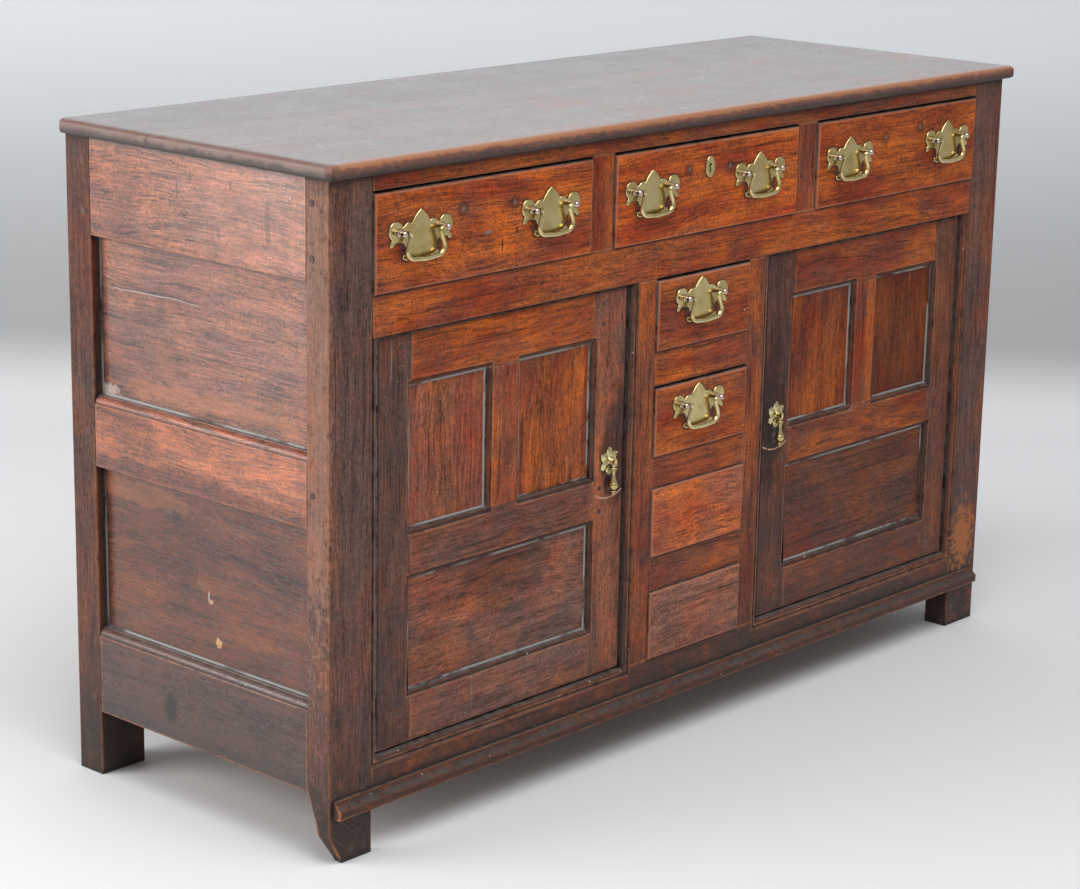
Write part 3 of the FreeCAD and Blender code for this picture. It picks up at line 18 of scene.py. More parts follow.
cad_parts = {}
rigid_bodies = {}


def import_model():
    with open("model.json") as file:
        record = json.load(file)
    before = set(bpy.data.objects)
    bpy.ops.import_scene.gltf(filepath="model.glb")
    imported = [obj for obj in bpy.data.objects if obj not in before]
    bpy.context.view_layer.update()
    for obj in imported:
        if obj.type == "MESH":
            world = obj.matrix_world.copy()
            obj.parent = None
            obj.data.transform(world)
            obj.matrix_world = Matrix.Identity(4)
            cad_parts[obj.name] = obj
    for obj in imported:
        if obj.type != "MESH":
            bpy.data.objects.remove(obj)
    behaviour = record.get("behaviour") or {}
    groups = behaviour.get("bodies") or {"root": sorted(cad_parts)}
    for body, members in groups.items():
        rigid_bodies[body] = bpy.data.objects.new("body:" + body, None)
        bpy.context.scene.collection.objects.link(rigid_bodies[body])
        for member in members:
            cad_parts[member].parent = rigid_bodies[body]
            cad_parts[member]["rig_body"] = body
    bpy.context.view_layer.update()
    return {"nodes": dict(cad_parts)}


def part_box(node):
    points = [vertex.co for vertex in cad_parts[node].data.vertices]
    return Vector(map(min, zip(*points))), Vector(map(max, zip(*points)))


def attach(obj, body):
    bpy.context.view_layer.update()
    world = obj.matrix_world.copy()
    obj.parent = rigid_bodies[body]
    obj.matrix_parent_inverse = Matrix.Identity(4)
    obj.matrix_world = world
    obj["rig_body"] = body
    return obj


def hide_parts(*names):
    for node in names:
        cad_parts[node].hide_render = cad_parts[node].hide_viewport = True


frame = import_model()
nodes = frame["nodes"]
random.seed(7)

# %% [markdown]
# The camera comes first. It stands at the left, above the top, with a long lens, and leans by about a
# degree.
# Turning about Z, then X, then Z again keeps heading, tilt and lean as three separate numbers.

# %% Camera
HEADING = math.radians(47.847)
TILT = math.radians(-14.933)
LEAN = math.radians(1.067)
CAMERA_PLACE = (-2.7849, -2.46125, 1.3403)
LENS_MM = 93.72
SENSOR_MM = 36.0
SEES_TO = 50.0
lens = bpy.data.cameras.new("Camera")
lens.sensor_width = SENSOR_MM
lens.lens = LENS_MM
lens.clip_end = SEES_TO
camera = bpy.data.objects.new("Camera", lens)
bpy.context.scene.collection.objects.link(camera)
turn = (Matrix.Rotation(-HEADING, 3, "Z") @ Matrix.Rotation(math.pi / 2 + TILT, 3, "X")
        @ Matrix.Rotation(LEAN, 3, "Z"))
camera.location = CAMERA_PLACE
camera.rotation_euler = turn.to_euler()
bpy.context.scene.camera = camera
bpy.context.scene.view_settings.view_transform = "Standard"
print("camera at", [round(value, 3) for value in camera.location])

# %% [markdown]
# A CAD node is loose triangles, and it may hold several boards. So a copy of it is merged first, its
# flat triangles are dissolved into whole faces, and the boards in it are told apart by walking from
# corner to corner along their edges.

# %% Merged copies of the nodes
MERGE = 1e-5
FLAT = math.radians(1.0)


def islands(work):
    """The separate boards of a mesh, each as a list of vertices, from left to right and upwards."""
    left = set(work.verts)
    found = []
    while left:
        queue = [left.pop()]
        board = []
        while queue:
            vertex = queue.pop()
            board.append(vertex)
            for edge in vertex.link_edges:
                other = edge.other_vert(vertex)
                if other in left:
                    left.discard(other)
                    queue.append(other)
        low = Vector([min(vertex.co[axis] for vertex in board) for axis in range(3)])
        high = Vector([max(vertex.co[axis] for vertex in board) for axis in range(3)])
        found.append((board, (low + high) / 2, (high - low) / 2))
    return sorted(found, key=lambda item: (round(item[1].x, 2), round(item[1].z, 2), round(item[1].y, 2)))


def merged(name):
    """A bmesh copy of a node, with its triangles merged and its flat faces made whole."""
    work = bmesh.new()
    work.from_mesh(nodes[name].data)
    bmesh.ops.remove_doubles(work, verts=work.verts, dist=MERGE)
    bmesh.ops.dissolve_limit(work, angle_limit=FLAT, verts=work.verts, edges=work.edges)
    return work


sample = merged("end_rails")
print("boards in the end rails", len(islands(sample)), "corners", len(sample.verts))
sample.free()

# %% [markdown]
# Old boards have no sharp corners: two centuries of sleeves and dusters round each arris by a
# millimetre or two. A bevel does that, and only along the long outer edges, so joints stay crisp.
# The copy then takes the node's place and rides on the same body.

# %% Worn arrises
CORNER = math.radians(40.0)
LONG_EDGE = 0.045
ROUND_STEPS = 3


def round_off(work, edges, offset, steps):
    """Edges rounded off by the same amount on both sides."""
    bmesh.ops.bevel(work, geom=edges, offset=offset, offset_type="OFFSET", segments=steps, profile=0.5,
                    affect="EDGES", clamp_overlap=False, material=-1)


def soften(work, arris):
    """Bevel the long outer edges of a merged copy."""
    sharp = [edge for edge in work.edges
             if edge.is_manifold and edge.is_convex and edge.calc_face_angle(0.0) > CORNER
             and edge.calc_length() > LONG_EDGE]
    if arris > 0.0 and sharp:
        round_off(work, sharp, arris, ROUND_STEPS)


def stand_in(prefix, name, work, material, crease=CORNER):
    """Turn a bmesh into a piece that takes a node's place and rides on its body."""
    for face in work.faces:
        face.smooth = True
    for edge in work.edges:
        edge.smooth = edge.calc_face_angle(math.pi) < crease
    mesh = bpy.data.meshes.new(prefix + name)
    work.to_mesh(mesh)
    work.free()
    mesh.materials.append(material)
    piece = bpy.data.objects.new(prefix + name, mesh)
    bpy.context.scene.collection.objects.link(piece)
    normals = piece.modifiers.new("Flat faces stay flat", "WEIGHTED_NORMAL")
    normals.keep_sharp = True
    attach(piece, nodes[name]["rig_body"])
    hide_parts(name)
    return piece


print("edges over", LONG_EDGE, "m are rounded in", ROUND_STEPS, "steps")

# %% [markdown]
# Each board stores where a point lies in the board itself: along the grain, across it and through it.
# Grain and wear can follow the board with that, however coarse the mesh is. A board also stores how
# light and how warm it is, and a number of its own, so that no two boards have the same grain.

# %% Boards that know their grain
SEED_RANGE = 40.0


def worn_boards(name, arris, tones, material):
    """A worn copy of a wooden node; tones gives how light and how warm each of its boards is."""
    work = merged(name)
    soften(work, arris)
    local_layer = work.verts.layers.float_vector.new("local")
    half_layer = work.verts.layers.float_vector.new("half")
    tone_layer = work.verts.layers.float_vector.new("tone")
    boards = islands(work)
    for number, (board, middle, half) in enumerate(boards):
        along, across, through = sorted(range(3), key=lambda axis: -half[axis])
        light, warm = tones[number % len(tones)]
        tone = Vector((light, warm, random.uniform(0.0, SEED_RANGE)))
        for vertex in board:
            offset = vertex.co - middle
            vertex[local_layer] = (offset[along], offset[across], offset[through])
            vertex[half_layer] = (half[along], half[across], half[through])
            vertex[tone_layer] = tone
    stand_in("worn_", name, work, material)
    return len(boards)


print("board recipe ready")

# %% [markdown]
# Materials are built from nodes. A few helpers keep that readable: each one adds a node, feeds it
# sockets or plain values, and hands back the socket that the next node needs.

# %% Node helpers


def feed(tree, socket, value):
    """Link a socket to another socket, or set its value."""
    if isinstance(value, bpy.types.NodeSocket):
        tree.links.new(value, socket)
    else:
        socket.default_value = value


def node(tree, kind, settings=None, **inputs):
    """A shader node with its settings and its named inputs."""
    made = tree.nodes.new("ShaderNode" + kind)
    for name, value in (settings or {}).items():
        setattr(made, name, value)
    for name, value in inputs.items():
        feed(tree, made.inputs[name.replace("_", " ")], value)
    return made


def new_material(name):
    """A material, with its node tree and its shader."""
    material = bpy.data.materials.new(name)
    material.use_nodes = True
    return material, material.node_tree, material.node_tree.nodes["Principled BSDF"]


def calc(tree, operation, *values):
    """A Math node."""
    made = node(tree, "Math", {"operation": operation})
    for socket, value in zip(made.inputs, values):
        feed(tree, socket, value)
    return made.outputs[0]


def vector_calc(tree, operation, *values):
    """A Vector Math node, which puts out a vector or, for a length, one value."""
    made = node(tree, "VectorMath", {"operation": operation})
    for socket, value in zip(made.inputs, values):
        feed(tree, socket, value)
    return made.outputs["Value" if operation == "LENGTH" else "Vector"]


print("node helpers ready")

# %% [markdown]
# Some sums come up again and again: many masks multiplied, several values added, a vector taken apart
# or put together from one value. Places are always read in the object's own coordinates, so a pattern
# stays on its board when a drawer slides or a door turns.

# %% Sums and places


def product(tree, *values):
    """Values or masks multiplied together."""
    return reduce(lambda first, second: calc(tree, "MULTIPLY", first, second), values)


def total(tree, *values):
    """Values added together."""
    return reduce(lambda first, second: calc(tree, "ADD", first, second), values)


def split(tree, vector):
    """The X, Y and Z of a vector."""
    return node(tree, "SeparateXYZ", Vector=vector).outputs


def thrice(tree, value):
    """A vector that holds one value three times."""
    return node(tree, "CombineXYZ", X=value, Y=value, Z=value).outputs[0]


def object_place(tree):
    """Where a point lies on the object."""
    return node(tree, "TexCoord").outputs["Object"]


print("sums ready")

# %% [markdown]
# Noise is what age is made of: stretched along a board it is grain, and cut off at a level it is a
# mask. Colours are written as on a paint chart and made linear, because shaders count in linear light.

# %% Noise, masks and colours


def noise(tree, vector, scale, detail=3.0, roughness=0.55):
    """A noise value from 0 to 1."""
    made = node(tree, "TexNoise", Vector=vector, Scale=scale, Detail=detail, Roughness=roughness)
    return made.outputs[0]


def streaks(tree, vector, scale, detail=3.0, roughness=0.55):
    """Noise that is stretched axis by axis, as wood is along a board."""
    return noise(tree, vector_calc(tree, "MULTIPLY", vector, scale), 1.0, detail, roughness)


def swing(tree, value, weight):
    """A noise value turned into a change round nought."""
    return product(tree, calc(tree, "SUBTRACT", value, 0.5), weight)


def rise(tree, value, low, high):
    """A mask that climbs smoothly from 0 at low to 1 at high."""
    made = node(tree, "MapRange", {"interpolation_type": "SMOOTHSTEP"}, Value=value, From_Min=low,
                From_Max=high)
    return made.outputs[0]


def mix(tree, factor, first, second):
    """Two colours mixed by a factor."""
    made = node(tree, "Mix", {"data_type": "RGBA"})
    feed(tree, made.inputs[0], factor)
    feed(tree, made.inputs[6], first)
    feed(tree, made.inputs[7], second)
    return made.outputs[2]


def paint(red, green, blue):
    """A colour as a paint chart gives it, from 0 to 255, made linear."""
    def linear(value):
        value = value / 255.0
        return value / 12.92 if value <= 0.04045 else ((value + 0.055) / 1.055) ** 2.4
    return linear(red), linear(green), linear(blue), 1.0


print("half grey in linear light", round(paint(128, 128, 128)[0], 3))

# %% [markdown]
# What several finishes share is a node group: built once, with named inputs, and placed in each
# material with that finish's own values.

# %% Node groups


def new_group(name, inputs, outputs):
    """An empty node group: inputs and outputs are lists of a name, a kind and a first value."""
    group = bpy.data.node_groups.new(name, "ShaderNodeTree")
    for direction, sockets in (("INPUT", inputs), ("OUTPUT", outputs)):
        for label, kind, first in sockets:
            socket = group.interface.new_socket(label, in_out=direction, socket_type="NodeSocket" + kind)
            if first is not None:
                socket.default_value = first
    return group, group.nodes.new("NodeGroupInput"), group.nodes.new("NodeGroupOutput")


def use(tree, group, **inputs):
    """A group placed in a material or in another group."""
    made = tree.nodes.new("ShaderNodeGroup")
    made.node_tree = group
    for name, value in inputs.items():
        feed(tree, made.inputs[name.replace("_", " ")], value)
    return made


def attribute(tree, name):
    """One of the values that a board stores at its vertices."""
    return node(tree, "Attribute", {"attribute_name": name}).outputs["Vector"]


print("group helpers ready")

# %% [markdown]
# The oak's grain starts from the place in the board, moved on by the board's own number and bent a
# little, as a tree grows. Every stretch below says how often a pattern changes in a metre along the
# board, across it and through it: seldom along, and often the other two ways.

# %% Oak grain: the place in the board
SEED_SHIFT = (3.1, 1.7, 2.3)
BEND = (3.0, 6.0, 6.0)
BEND_SIZE = 0.05
oak_grain, grain_in, grain_out = new_group(
    "Oak grain", [("Figure", "Float", 1.0), ("Mottle", "Float", 1.0)],
    [("Color", "Color", None), ("Height", "Float", None), ("Dry", "Float", None)])
tree = oak_grain
place = object_place(tree)
tone = split(tree, attribute(tree, "tone"))
shift = vector_calc(tree, "MULTIPLY", thrice(tree, tone[2]), SEED_SHIFT)
local = vector_calc(tree, "ADD", attribute(tree, "local"), shift)
bend = swing(tree, streaks(tree, local, BEND, 2.0, 0.5), BEND_SIZE)
local = vector_calc(tree, "ADD", local, node(tree, "CombineXYZ", Y=bend, Z=bend).outputs[0])
print("grain place nodes", len(tree.nodes))

# %% [markdown]
# How light the oak is adds up growth rings, fine lines, broad streaks, smudges and a fine patina, and
# Figure says how strong they are together. Pores are short dark dashes along the grain, and shakes
# are long fine cracks. Both multiply what is there, because that keeps dark wood rich.

# %% Oak grain: light and dark
BROAD = (1.8, 26.0, 26.0)
FINE = (17.0, 430.0, 430.0)
RING = (0.9, 10.0, 10.0)
RING_TURNS = 95.0
PORE = (80.0, 800.0, 800.0)
SHAKE = (2.2, 150.0, 150.0)
broad = streaks(tree, local, BROAD, 5.0, 0.65)
lines = streaks(tree, local, FINE, 4.0, 0.65)
rings = calc(tree, "SINE", product(tree, streaks(tree, local, RING, 1.0, 0.4), RING_TURNS))
dashes = rise(tree, streaks(tree, local, PORE, 2.0, 0.5), 0.57, 0.66)
shakes = rise(tree, streaks(tree, local, SHAKE, 1.0, 0.4), 0.69, 0.73)
smudge = noise(tree, place, 14.0, 5.0, 0.62)
patina = noise(tree, place, 240.0, 4.0, 0.7)
light = product(tree, rings, 0.10)
for pattern, weight in ((lines, 2.7), (broad, 1.2), (smudge, 0.9), (patina, 1.7)):
    light = total(tree, light, swing(tree, pattern, weight))
light = total(tree, product(tree, light, grain_in.outputs["Figure"]), 0.98)
for dark in (dashes, shakes):
    light = product(tree, light, calc(tree, "SUBTRACT", 1.0, product(tree, dark, 0.5)))
light = node(tree, "Clamp", Value=light, Min=0.16, Max=2.2).outputs[0]
light = product(tree, light, tone[0])
print("grain nodes with light and dark", len(tree.nodes))

# %% [markdown]
# How warm the oak is comes apart from how light it is. Polished drawer fronts have turned orange-red,
# while what is low down or often handled has gone grey and nearly black. So warmth mixes a grey, a red
# and an orange brown, and Mottle says how far it wanders. The group also puts out a height, in which
# the pores are low, and how dry the polish is.

# %% Oak grain: colour
GREY_OAK = paint(112, 85, 76)
RED_OAK = paint(150, 57, 21)
ORANGE_OAK = paint(190, 95, 30)
FLECK = paint(56, 44, 48)
WARM = (4.0, 15.0, 15.0)
RUDDY = (6.0, 22.0, 22.0)
warm = total(tree, swing(tree, streaks(tree, local, WARM, 4.0, 0.6), 1.2),
             swing(tree, noise(tree, place, 14.0, 5.0, 0.68), 1.3))
warm = total(tree, tone[1], product(tree, warm, grain_in.outputs["Mottle"]))
warm = node(tree, "Clamp", Value=warm).outputs[0]
ruddy = rise(tree, streaks(tree, local, RUDDY, 3.0, 0.6), 0.36, 0.64)
flecks = rise(tree, noise(tree, place, 330.0, 2.0, 0.6), 0.52, 0.66)
wood = mix(tree, warm, GREY_OAK, mix(tree, ruddy, RED_OAK, ORANGE_OAK))
wood = vector_calc(tree, "MULTIPLY", wood, thrice(tree, light))
wood = mix(tree, product(tree, flecks, 0.45), wood, FLECK)
tree.links.new(wood, grain_out.inputs["Color"])
tree.links.new(calc(tree, "SUBTRACT", lines, dashes), grain_out.inputs["Height"])
dry = total(tree, swing(tree, smudge, 0.5), product(tree, dashes, 0.15))
tree.links.new(dry, grain_out.inputs["Dry"])
print("oak grain nodes", len(tree.nodes))

# %% [markdown]
# Some wear follows a board's own edges. A board knows its half sizes, so the distance to each pair of
# its faces is half a size less the distance from its middle. On a face one of the three is nought,
# and the middle one of the three is the distance to the nearest edge.

# %% Distance to the edge of a board
board_edge, _, edge_out = new_group("Board edge", [], [("Distance", "Float", None)])
tree = board_edge
from_middle = vector_calc(tree, "ABSOLUTE", attribute(tree, "local"))
inset = vector_calc(tree, "SUBTRACT", attribute(tree, "half"), from_middle)
parts = split(tree, inset)
lesser = calc(tree, "MINIMUM", parts[0], parts[1])
greater = calc(tree, "MAXIMUM", parts[0], parts[1])
tree.links.new(calc(tree, "MAXIMUM", lesser, calc(tree, "MINIMUM", greater, parts[2])),
               edge_out.inputs["Distance"])
print("edge distance nodes", len(tree.nodes))

# %% [markdown]
# A patch is a mark with a place of its own: a stain, a knot, a crack, bare wood, and also a painted sheen
# and shadow. It is an ellipsoid round a point, with an edge that noise makes ragged, so one group serves
# them all. A crack is a patch that is long and hardly has any width.

# %% Patches
patch_group, patch_in, patch_out = new_group(
    "Patch", [("Middle", "Vector", (0, 0, 0)), ("Reach", "Vector", (1, 1, 1)), ("Warp", "Float", 0.0),
              ("Ragged", "Float", 0.3), ("Fineness", "Float", 60.0)],
    [("Mask", "Float", None)])
tree = patch_group
place = object_place(tree)
drift = swing(tree, noise(tree, place, 9.0, 2.0, 0.5), patch_in.outputs["Warp"])
bent = vector_calc(tree, "ADD", place, thrice(tree, drift))
offset = vector_calc(tree, "SUBTRACT", bent, patch_in.outputs["Middle"])
far = vector_calc(tree, "LENGTH", vector_calc(tree, "DIVIDE", offset, patch_in.outputs["Reach"]))
torn = swing(tree, noise(tree, place, patch_in.outputs["Fineness"], 3.0, 0.6), 2.0)
reach = total(tree, far, product(tree, torn, patch_in.outputs["Ragged"]))
tree.links.new(rise(tree, reach, 1.1, 0.6), patch_out.inputs["Mask"])
print("patch nodes", len(tree.nodes))

# %% [markdown]
# An arc is the groove that a swinging drop wears into the door under itself: a thin ring round the
# stud, of which only the lowest part shows.

# %% Worn arcs
ARC_WIDE = 0.0015
ARC_FULL = 0.0005
FLATTEN = (1, 0, 1)
arc_group, arc_in, arc_out = new_group(
    "Arc", [("Middle", "Vector", (0, 0, 0)), ("Radius", "Float", 0.05), ("Depth", "Float", 0.04)],
    [("Mask", "Float", None)])
tree = arc_group
place = object_place(tree)
offset = vector_calc(tree, "SUBTRACT", place, arc_in.outputs["Middle"])
offset = vector_calc(tree, "MULTIPLY", offset, FLATTEN)
far = vector_calc(tree, "LENGTH", offset)
miss = calc(tree, "ABSOLUTE", calc(tree, "SUBTRACT", far, arc_in.outputs["Radius"]))
below = product(tree, split(tree, offset)[2], -1.0)
hung = calc(tree, "GREATER_THAN", below, arc_in.outputs["Depth"])
faint = rise(tree, noise(tree, place, 120.0, 2.0, 0.5), 0.28, 0.5)
tree.links.new(product(tree, rise(tree, miss, ARC_WIDE, ARC_FULL), hung, faint), arc_out.inputs["Mask"])
print("arc nodes", len(tree.nodes))

# %% [markdown]
# Dust lies on whatever faces up. The surface's own direction in the object says where up is, so a
# drawer keeps its dust when it slides.

# %% Dust
dust_group, dust_in, dust_out = new_group(
    "Dust", [("Amount", "Float", 0.5)], [("Mask", "Float", None)])
tree = dust_group
space = node(tree, "TexCoord")
facing = split(tree, space.outputs["Normal"])[2]
cloud = noise(tree, space.outputs["Object"], 70.0, 4.0, 0.65)
tree.links.new(product(tree, rise(tree, facing, 0.45, 0.95), rise(tree, cloud, 0.3, 0.62),
                       dust_in.outputs["Amount"]), dust_out.inputs["Mask"])
print("dust nodes", len(tree.nodes))

# %% [markdown]
# Specks are drops of paint and plaster: small, pale, few, and of all sizes. A Voronoi pattern gives
# each of its cells three chances: whether it has a speck, how large it is, and how strong.

# %% Specks
CELLS_PER_METRE = 150.0
speck_group, speck_in, speck_out = new_group(
    "Specks", [("Share", "Float", 0.1)], [("Mask", "Float", None)])
tree = speck_group
place = object_place(tree)
cells = node(tree, "TexVoronoi", {"feature": "F1"}, Vector=place, Scale=CELLS_PER_METRE)
chance = node(tree, "SeparateColor", Color=cells.outputs["Color"]).outputs
few = calc(tree, "LESS_THAN", chance[0], speck_in.outputs["Share"])
radius = total(tree, 0.05, product(tree, chance[1], chance[1], 0.20))
dot = rise(tree, calc(tree, "SUBTRACT", cells.outputs["Distance"], radius), 0.05, -0.05)
tree.links.new(product(tree, few, dot, total(tree, 0.4, product(tree, chance[2], 0.6))),
               speck_out.inputs["Mask"])
print("speck nodes", len(tree.nodes))

# %% [markdown]
# Scratches are thin pale lines that run any way but along the grain: noise that is drawn out along
# slanting planes, in some places only.

# %% Scratches
SCRATCH = (16.0, 16.0, 700.0)
SLANTS = (((0.8, 0.6, 0.1), 0.7), ((0.5, 0.8, -0.2), -0.9), ((0.7, 0.7, 0.3), 1.3))
scratch_group, scratch_in, scratch_out = new_group(
    "Scratches", [("Amount", "Float", 0.5)], [("Mask", "Float", None)])
tree = scratch_group
place = object_place(tree)
thin = 0.0
for axis, angle in SLANTS:
    turned = node(tree, "VectorRotate", {"rotation_type": "AXIS_ANGLE"}, Vector=place, Axis=axis,
                  Angle=angle)
    line = rise(tree, streaks(tree, turned.outputs[0], SCRATCH, 1.0, 0.4), 0.71, 0.75)
    thin = calc(tree, "MAXIMUM", thin, line)
where = rise(tree, noise(tree, place, 6.0, 2.0, 0.5), 0.45, 0.6)
tree.links.new(product(tree, thin, where, scratch_in.outputs["Amount"]), scratch_out.inputs["Mask"])
print("scratch nodes", len(tree.nodes))

# %% [markdown]
# Marks and wear have places on the object, so the planes in which they lie are read from the packed
# model: the end, its sunk panels, the front, the doors, the top and the back.

# %% Faces of the object
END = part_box("end_rails")[0].x
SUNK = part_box("end_panels")[0].x
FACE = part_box("front_left_stile")[0].y
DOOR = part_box("left_door_stiles")[0].y
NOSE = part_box("top_front_board")[0].y
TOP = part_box("top_front_board")[1].z
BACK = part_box("back_boards")[1].y
print("faces", [round(value, 4) for value in (END, SUNK, FACE, DOOR, NOSE, TOP, BACK)])

# %% [markdown]
# One recipe makes every oak finish. Each of its steps takes the colour so far and hands back the next
# one, in the order in which age came to the object. Shades come first, some of them a painted sheen and
# shadow, then damp near the floor, then grime with painted shade. An Ambient Occlusion node finds the
# corners, and darkens them both for the grime that sits where a cloth can't reach and as painted shade.

# %% Steps of a finish: shades, damp, and grime with painted shade
# GRIME_AND_SHADE is grime, and painted shade where it darkens corners and the doors' beads.
GRIME_AND_SHADE = paint(36, 29, 30)
DAMP = paint(78, 62, 57)
FOOT = paint(52, 46, 43)
DAMP_TOP = 0.42
DAMP_FULL = 0.02
FOOT_TOP = 0.17
FOOT_FULL = 0.05
JOINT_WIDE = 0.0036
JOINT_FULL = 0.0010
BEAD_START = 0.0006
BEAD_FULL = 0.0016


def corner(tree, reach, inside, rays):
    """How open a point is: 1 on a plain face, less near a corner, or inside out near an arris."""
    made = node(tree, "AmbientOcclusion", {"samples": rays, "inside": inside, "only_local": inside},
                Distance=reach)
    return made.outputs["AO"]


def patch(tree, middle, reach, warp, torn, fine):
    """The mask of one patch."""
    made = use(tree, patch_group, Middle=middle, Reach=reach, Warp=warp, Ragged=torn, Fineness=fine)
    return made.outputs["Mask"]


def shaded(tree, colour, shades):
    """Patches of a board that are lighter or darker than the rest of it."""
    for gain, *where in shades:
        factor = total(tree, 1.0, product(tree, patch(tree, *where), gain - 1.0))
        colour = vector_calc(tree, "MULTIPLY", colour, thrice(tree, factor))
    return colour


def damped(tree, colour, low, height, cloud, amount):
    """Damp that rose from the floor, and feet that are darker still."""
    colour = mix(tree, product(tree, low, rise(tree, cloud, 0.25, 0.65), amount), colour, DAMP)
    feet = product(tree, rise(tree, height, FOOT_TOP, FOOT_FULL), rise(tree, cloud, 0.2, 0.55), 0.85)
    return mix(tree, feet, colour, FOOT)


def jointed(tree, colour, to_edge, cloud, tint):
    """A line along the edges of a board, where it meets the next one."""
    line = rise(tree, to_edge, JOINT_WIDE, JOINT_FULL)
    return mix(tree, product(tree, line, rise(tree, cloud, 0.2, 0.5), 0.6), colour, tint)


def bead_grime_and_shade(tree, colour, depth, amount):
    """Grime and painted shade in the bead of a door frame, which lies below the door's face."""
    below_face = rise(tree, depth, DOOR + BEAD_START, DOOR + BEAD_FULL)
    return mix(tree, product(tree, below_face, amount), colour, GRIME_AND_SHADE)


print("damp starts at", DAMP_TOP, "m, dark feet at", FOOT_TOP, "m")

# %% [markdown]
# Hands rub the polish through at the arrises, and the pale line left there is also a painted highlight.
# The Ambient Occlusion node finds those too, when it is turned inside out. Marks with places of their own
# come next, and the arcs under the drops.

# %% Steps of a finish: wear with a painted highlight, and marks
# BARE_AND_HIGHLIGHT is bare wood, and on the arrises also a painted highlight.
BARE_AND_HIGHLIGHT = paint(196, 122, 80)
SCORE = paint(206, 160, 136)
SPECK = paint(205, 192, 176)
ARRIS_REACH = 0.0030
ARC_RADIUS = 0.0485
ARC_DEPTH = 0.041
ARC_GONE = 0.004
ARC_THERE = 0.002


def rubbed_and_highlit(tree, colour, openness, cloud, look):
    """Polish rubbed through at the arrises, which is also a painted highlight, and scratches."""
    arris = rise(tree, corner(tree, ARRIS_REACH, inside=True, rays=4), 0.92, 0.62)
    open_place = rise(tree, openness, 0.8, 0.97)
    worn = product(tree, arris, open_place, rise(tree, cloud, 0.3, 0.6), look["worn"])
    lines = use(tree, scratch_group, Amount=look["scratches"]).outputs["Mask"]
    return mix(tree, lines, mix(tree, worn, colour, BARE_AND_HIGHLIGHT), BARE_AND_HIGHLIGHT)


def marked(tree, colour, dry, marks):
    """Marks that have places of their own; each one also dulls the polish."""
    for tint, share, *where in marks:
        mask = product(tree, patch(tree, *where), share)
        colour = mix(tree, mask, colour, tint)
        dry = total(tree, dry, product(tree, mask, 0.2))
    return colour, dry


def grooved(tree, colour, depth, arcs):
    """The arcs that the drops wore into the faces of the doors, and not into their backs."""
    for middle in arcs:
        groove = use(tree, arc_group, Middle=middle, Radius=ARC_RADIUS, Depth=ARC_DEPTH).outputs["Mask"]
        on_face = rise(tree, depth, DOOR + ARC_GONE, DOOR + ARC_THERE)
        colour = mix(tree, product(tree, groove, on_face, 0.85), colour, SCORE)
    return colour


def specked(tree, colour, low, amount):
    """Drops of paint and plaster, most of them near the floor."""
    share = product(tree, total(tree, 0.35, product(tree, low, 1.6)), amount)
    spots = use(tree, speck_group, Share=share).outputs["Mask"]
    return mix(tree, product(tree, spots, 0.8), colour, SPECK)


print("polish is rubbed through within", ARRIS_REACH, "m of an arris")

# %% [markdown]
# Pale lines go in the deepest quirks and, round a panel, in the seam where it enters its frame: old wax,
# and a painted highlight along the beads. Dust is the last step. Then the colour, the roughness and the
# dents go to the shader, and the top gets a coat, which is its thick wax. PLAIN is what a finish has
# where it asks for nothing else.

# %% The oak recipe
# WAX_AND_HIGHLIGHT is old wax, and a painted highlight along the beads.
WAX_AND_HIGHLIGHT = paint(160, 160, 156)
DUST = paint(160, 158, 152)
CORNER_REACH = 0.009
SEAM = 0.0094
SEAM_WIDE = 0.0024
SEAM_FULL = 0.0010
COAT_ROUGHNESS = 0.26
DENT = 0.0006
PLAIN = {"damp": 0.5, "grime": 0.90, "wax": 0.5, "worn": 0.7, "scratches": 0.16, "specks": 0.024,
         "dust": 0.16, "rough": 0.38, "shine": 0.16, "coat": 0.0, "bump": 0.35, "bead": 0.0, "seam": 0.0,
         "figure": 1.0, "mottle": 1.0, "joint": GRIME_AND_SHADE, "film": DUST}


def waxed_and_highlit(tree, colour, place, openness, to_edge, cloud, look):
    """Old wax and a painted highlight in the quirks and, where the finish has a seam, along that too."""
    wax = product(tree, rise(tree, openness, 0.64, 0.46), rise(tree, cloud, 0.34, 0.58), look["wax"])
    # The seam line round a panel is a painted highlight on its bead, with old wax.
    if look["seam"]:
        miss = calc(tree, "ABSOLUTE", calc(tree, "SUBTRACT", to_edge, SEAM))
        stretch = rise(tree, noise(tree, place, 11.0, 4.0, 0.65), 0.38, 0.52)
        seam = product(tree, rise(tree, miss, SEAM_WIDE, SEAM_FULL), stretch, look["seam"])
        wax = calc(tree, "MAXIMUM", wax, seam)
    return mix(tree, wax, colour, WAX_AND_HIGHLIGHT)


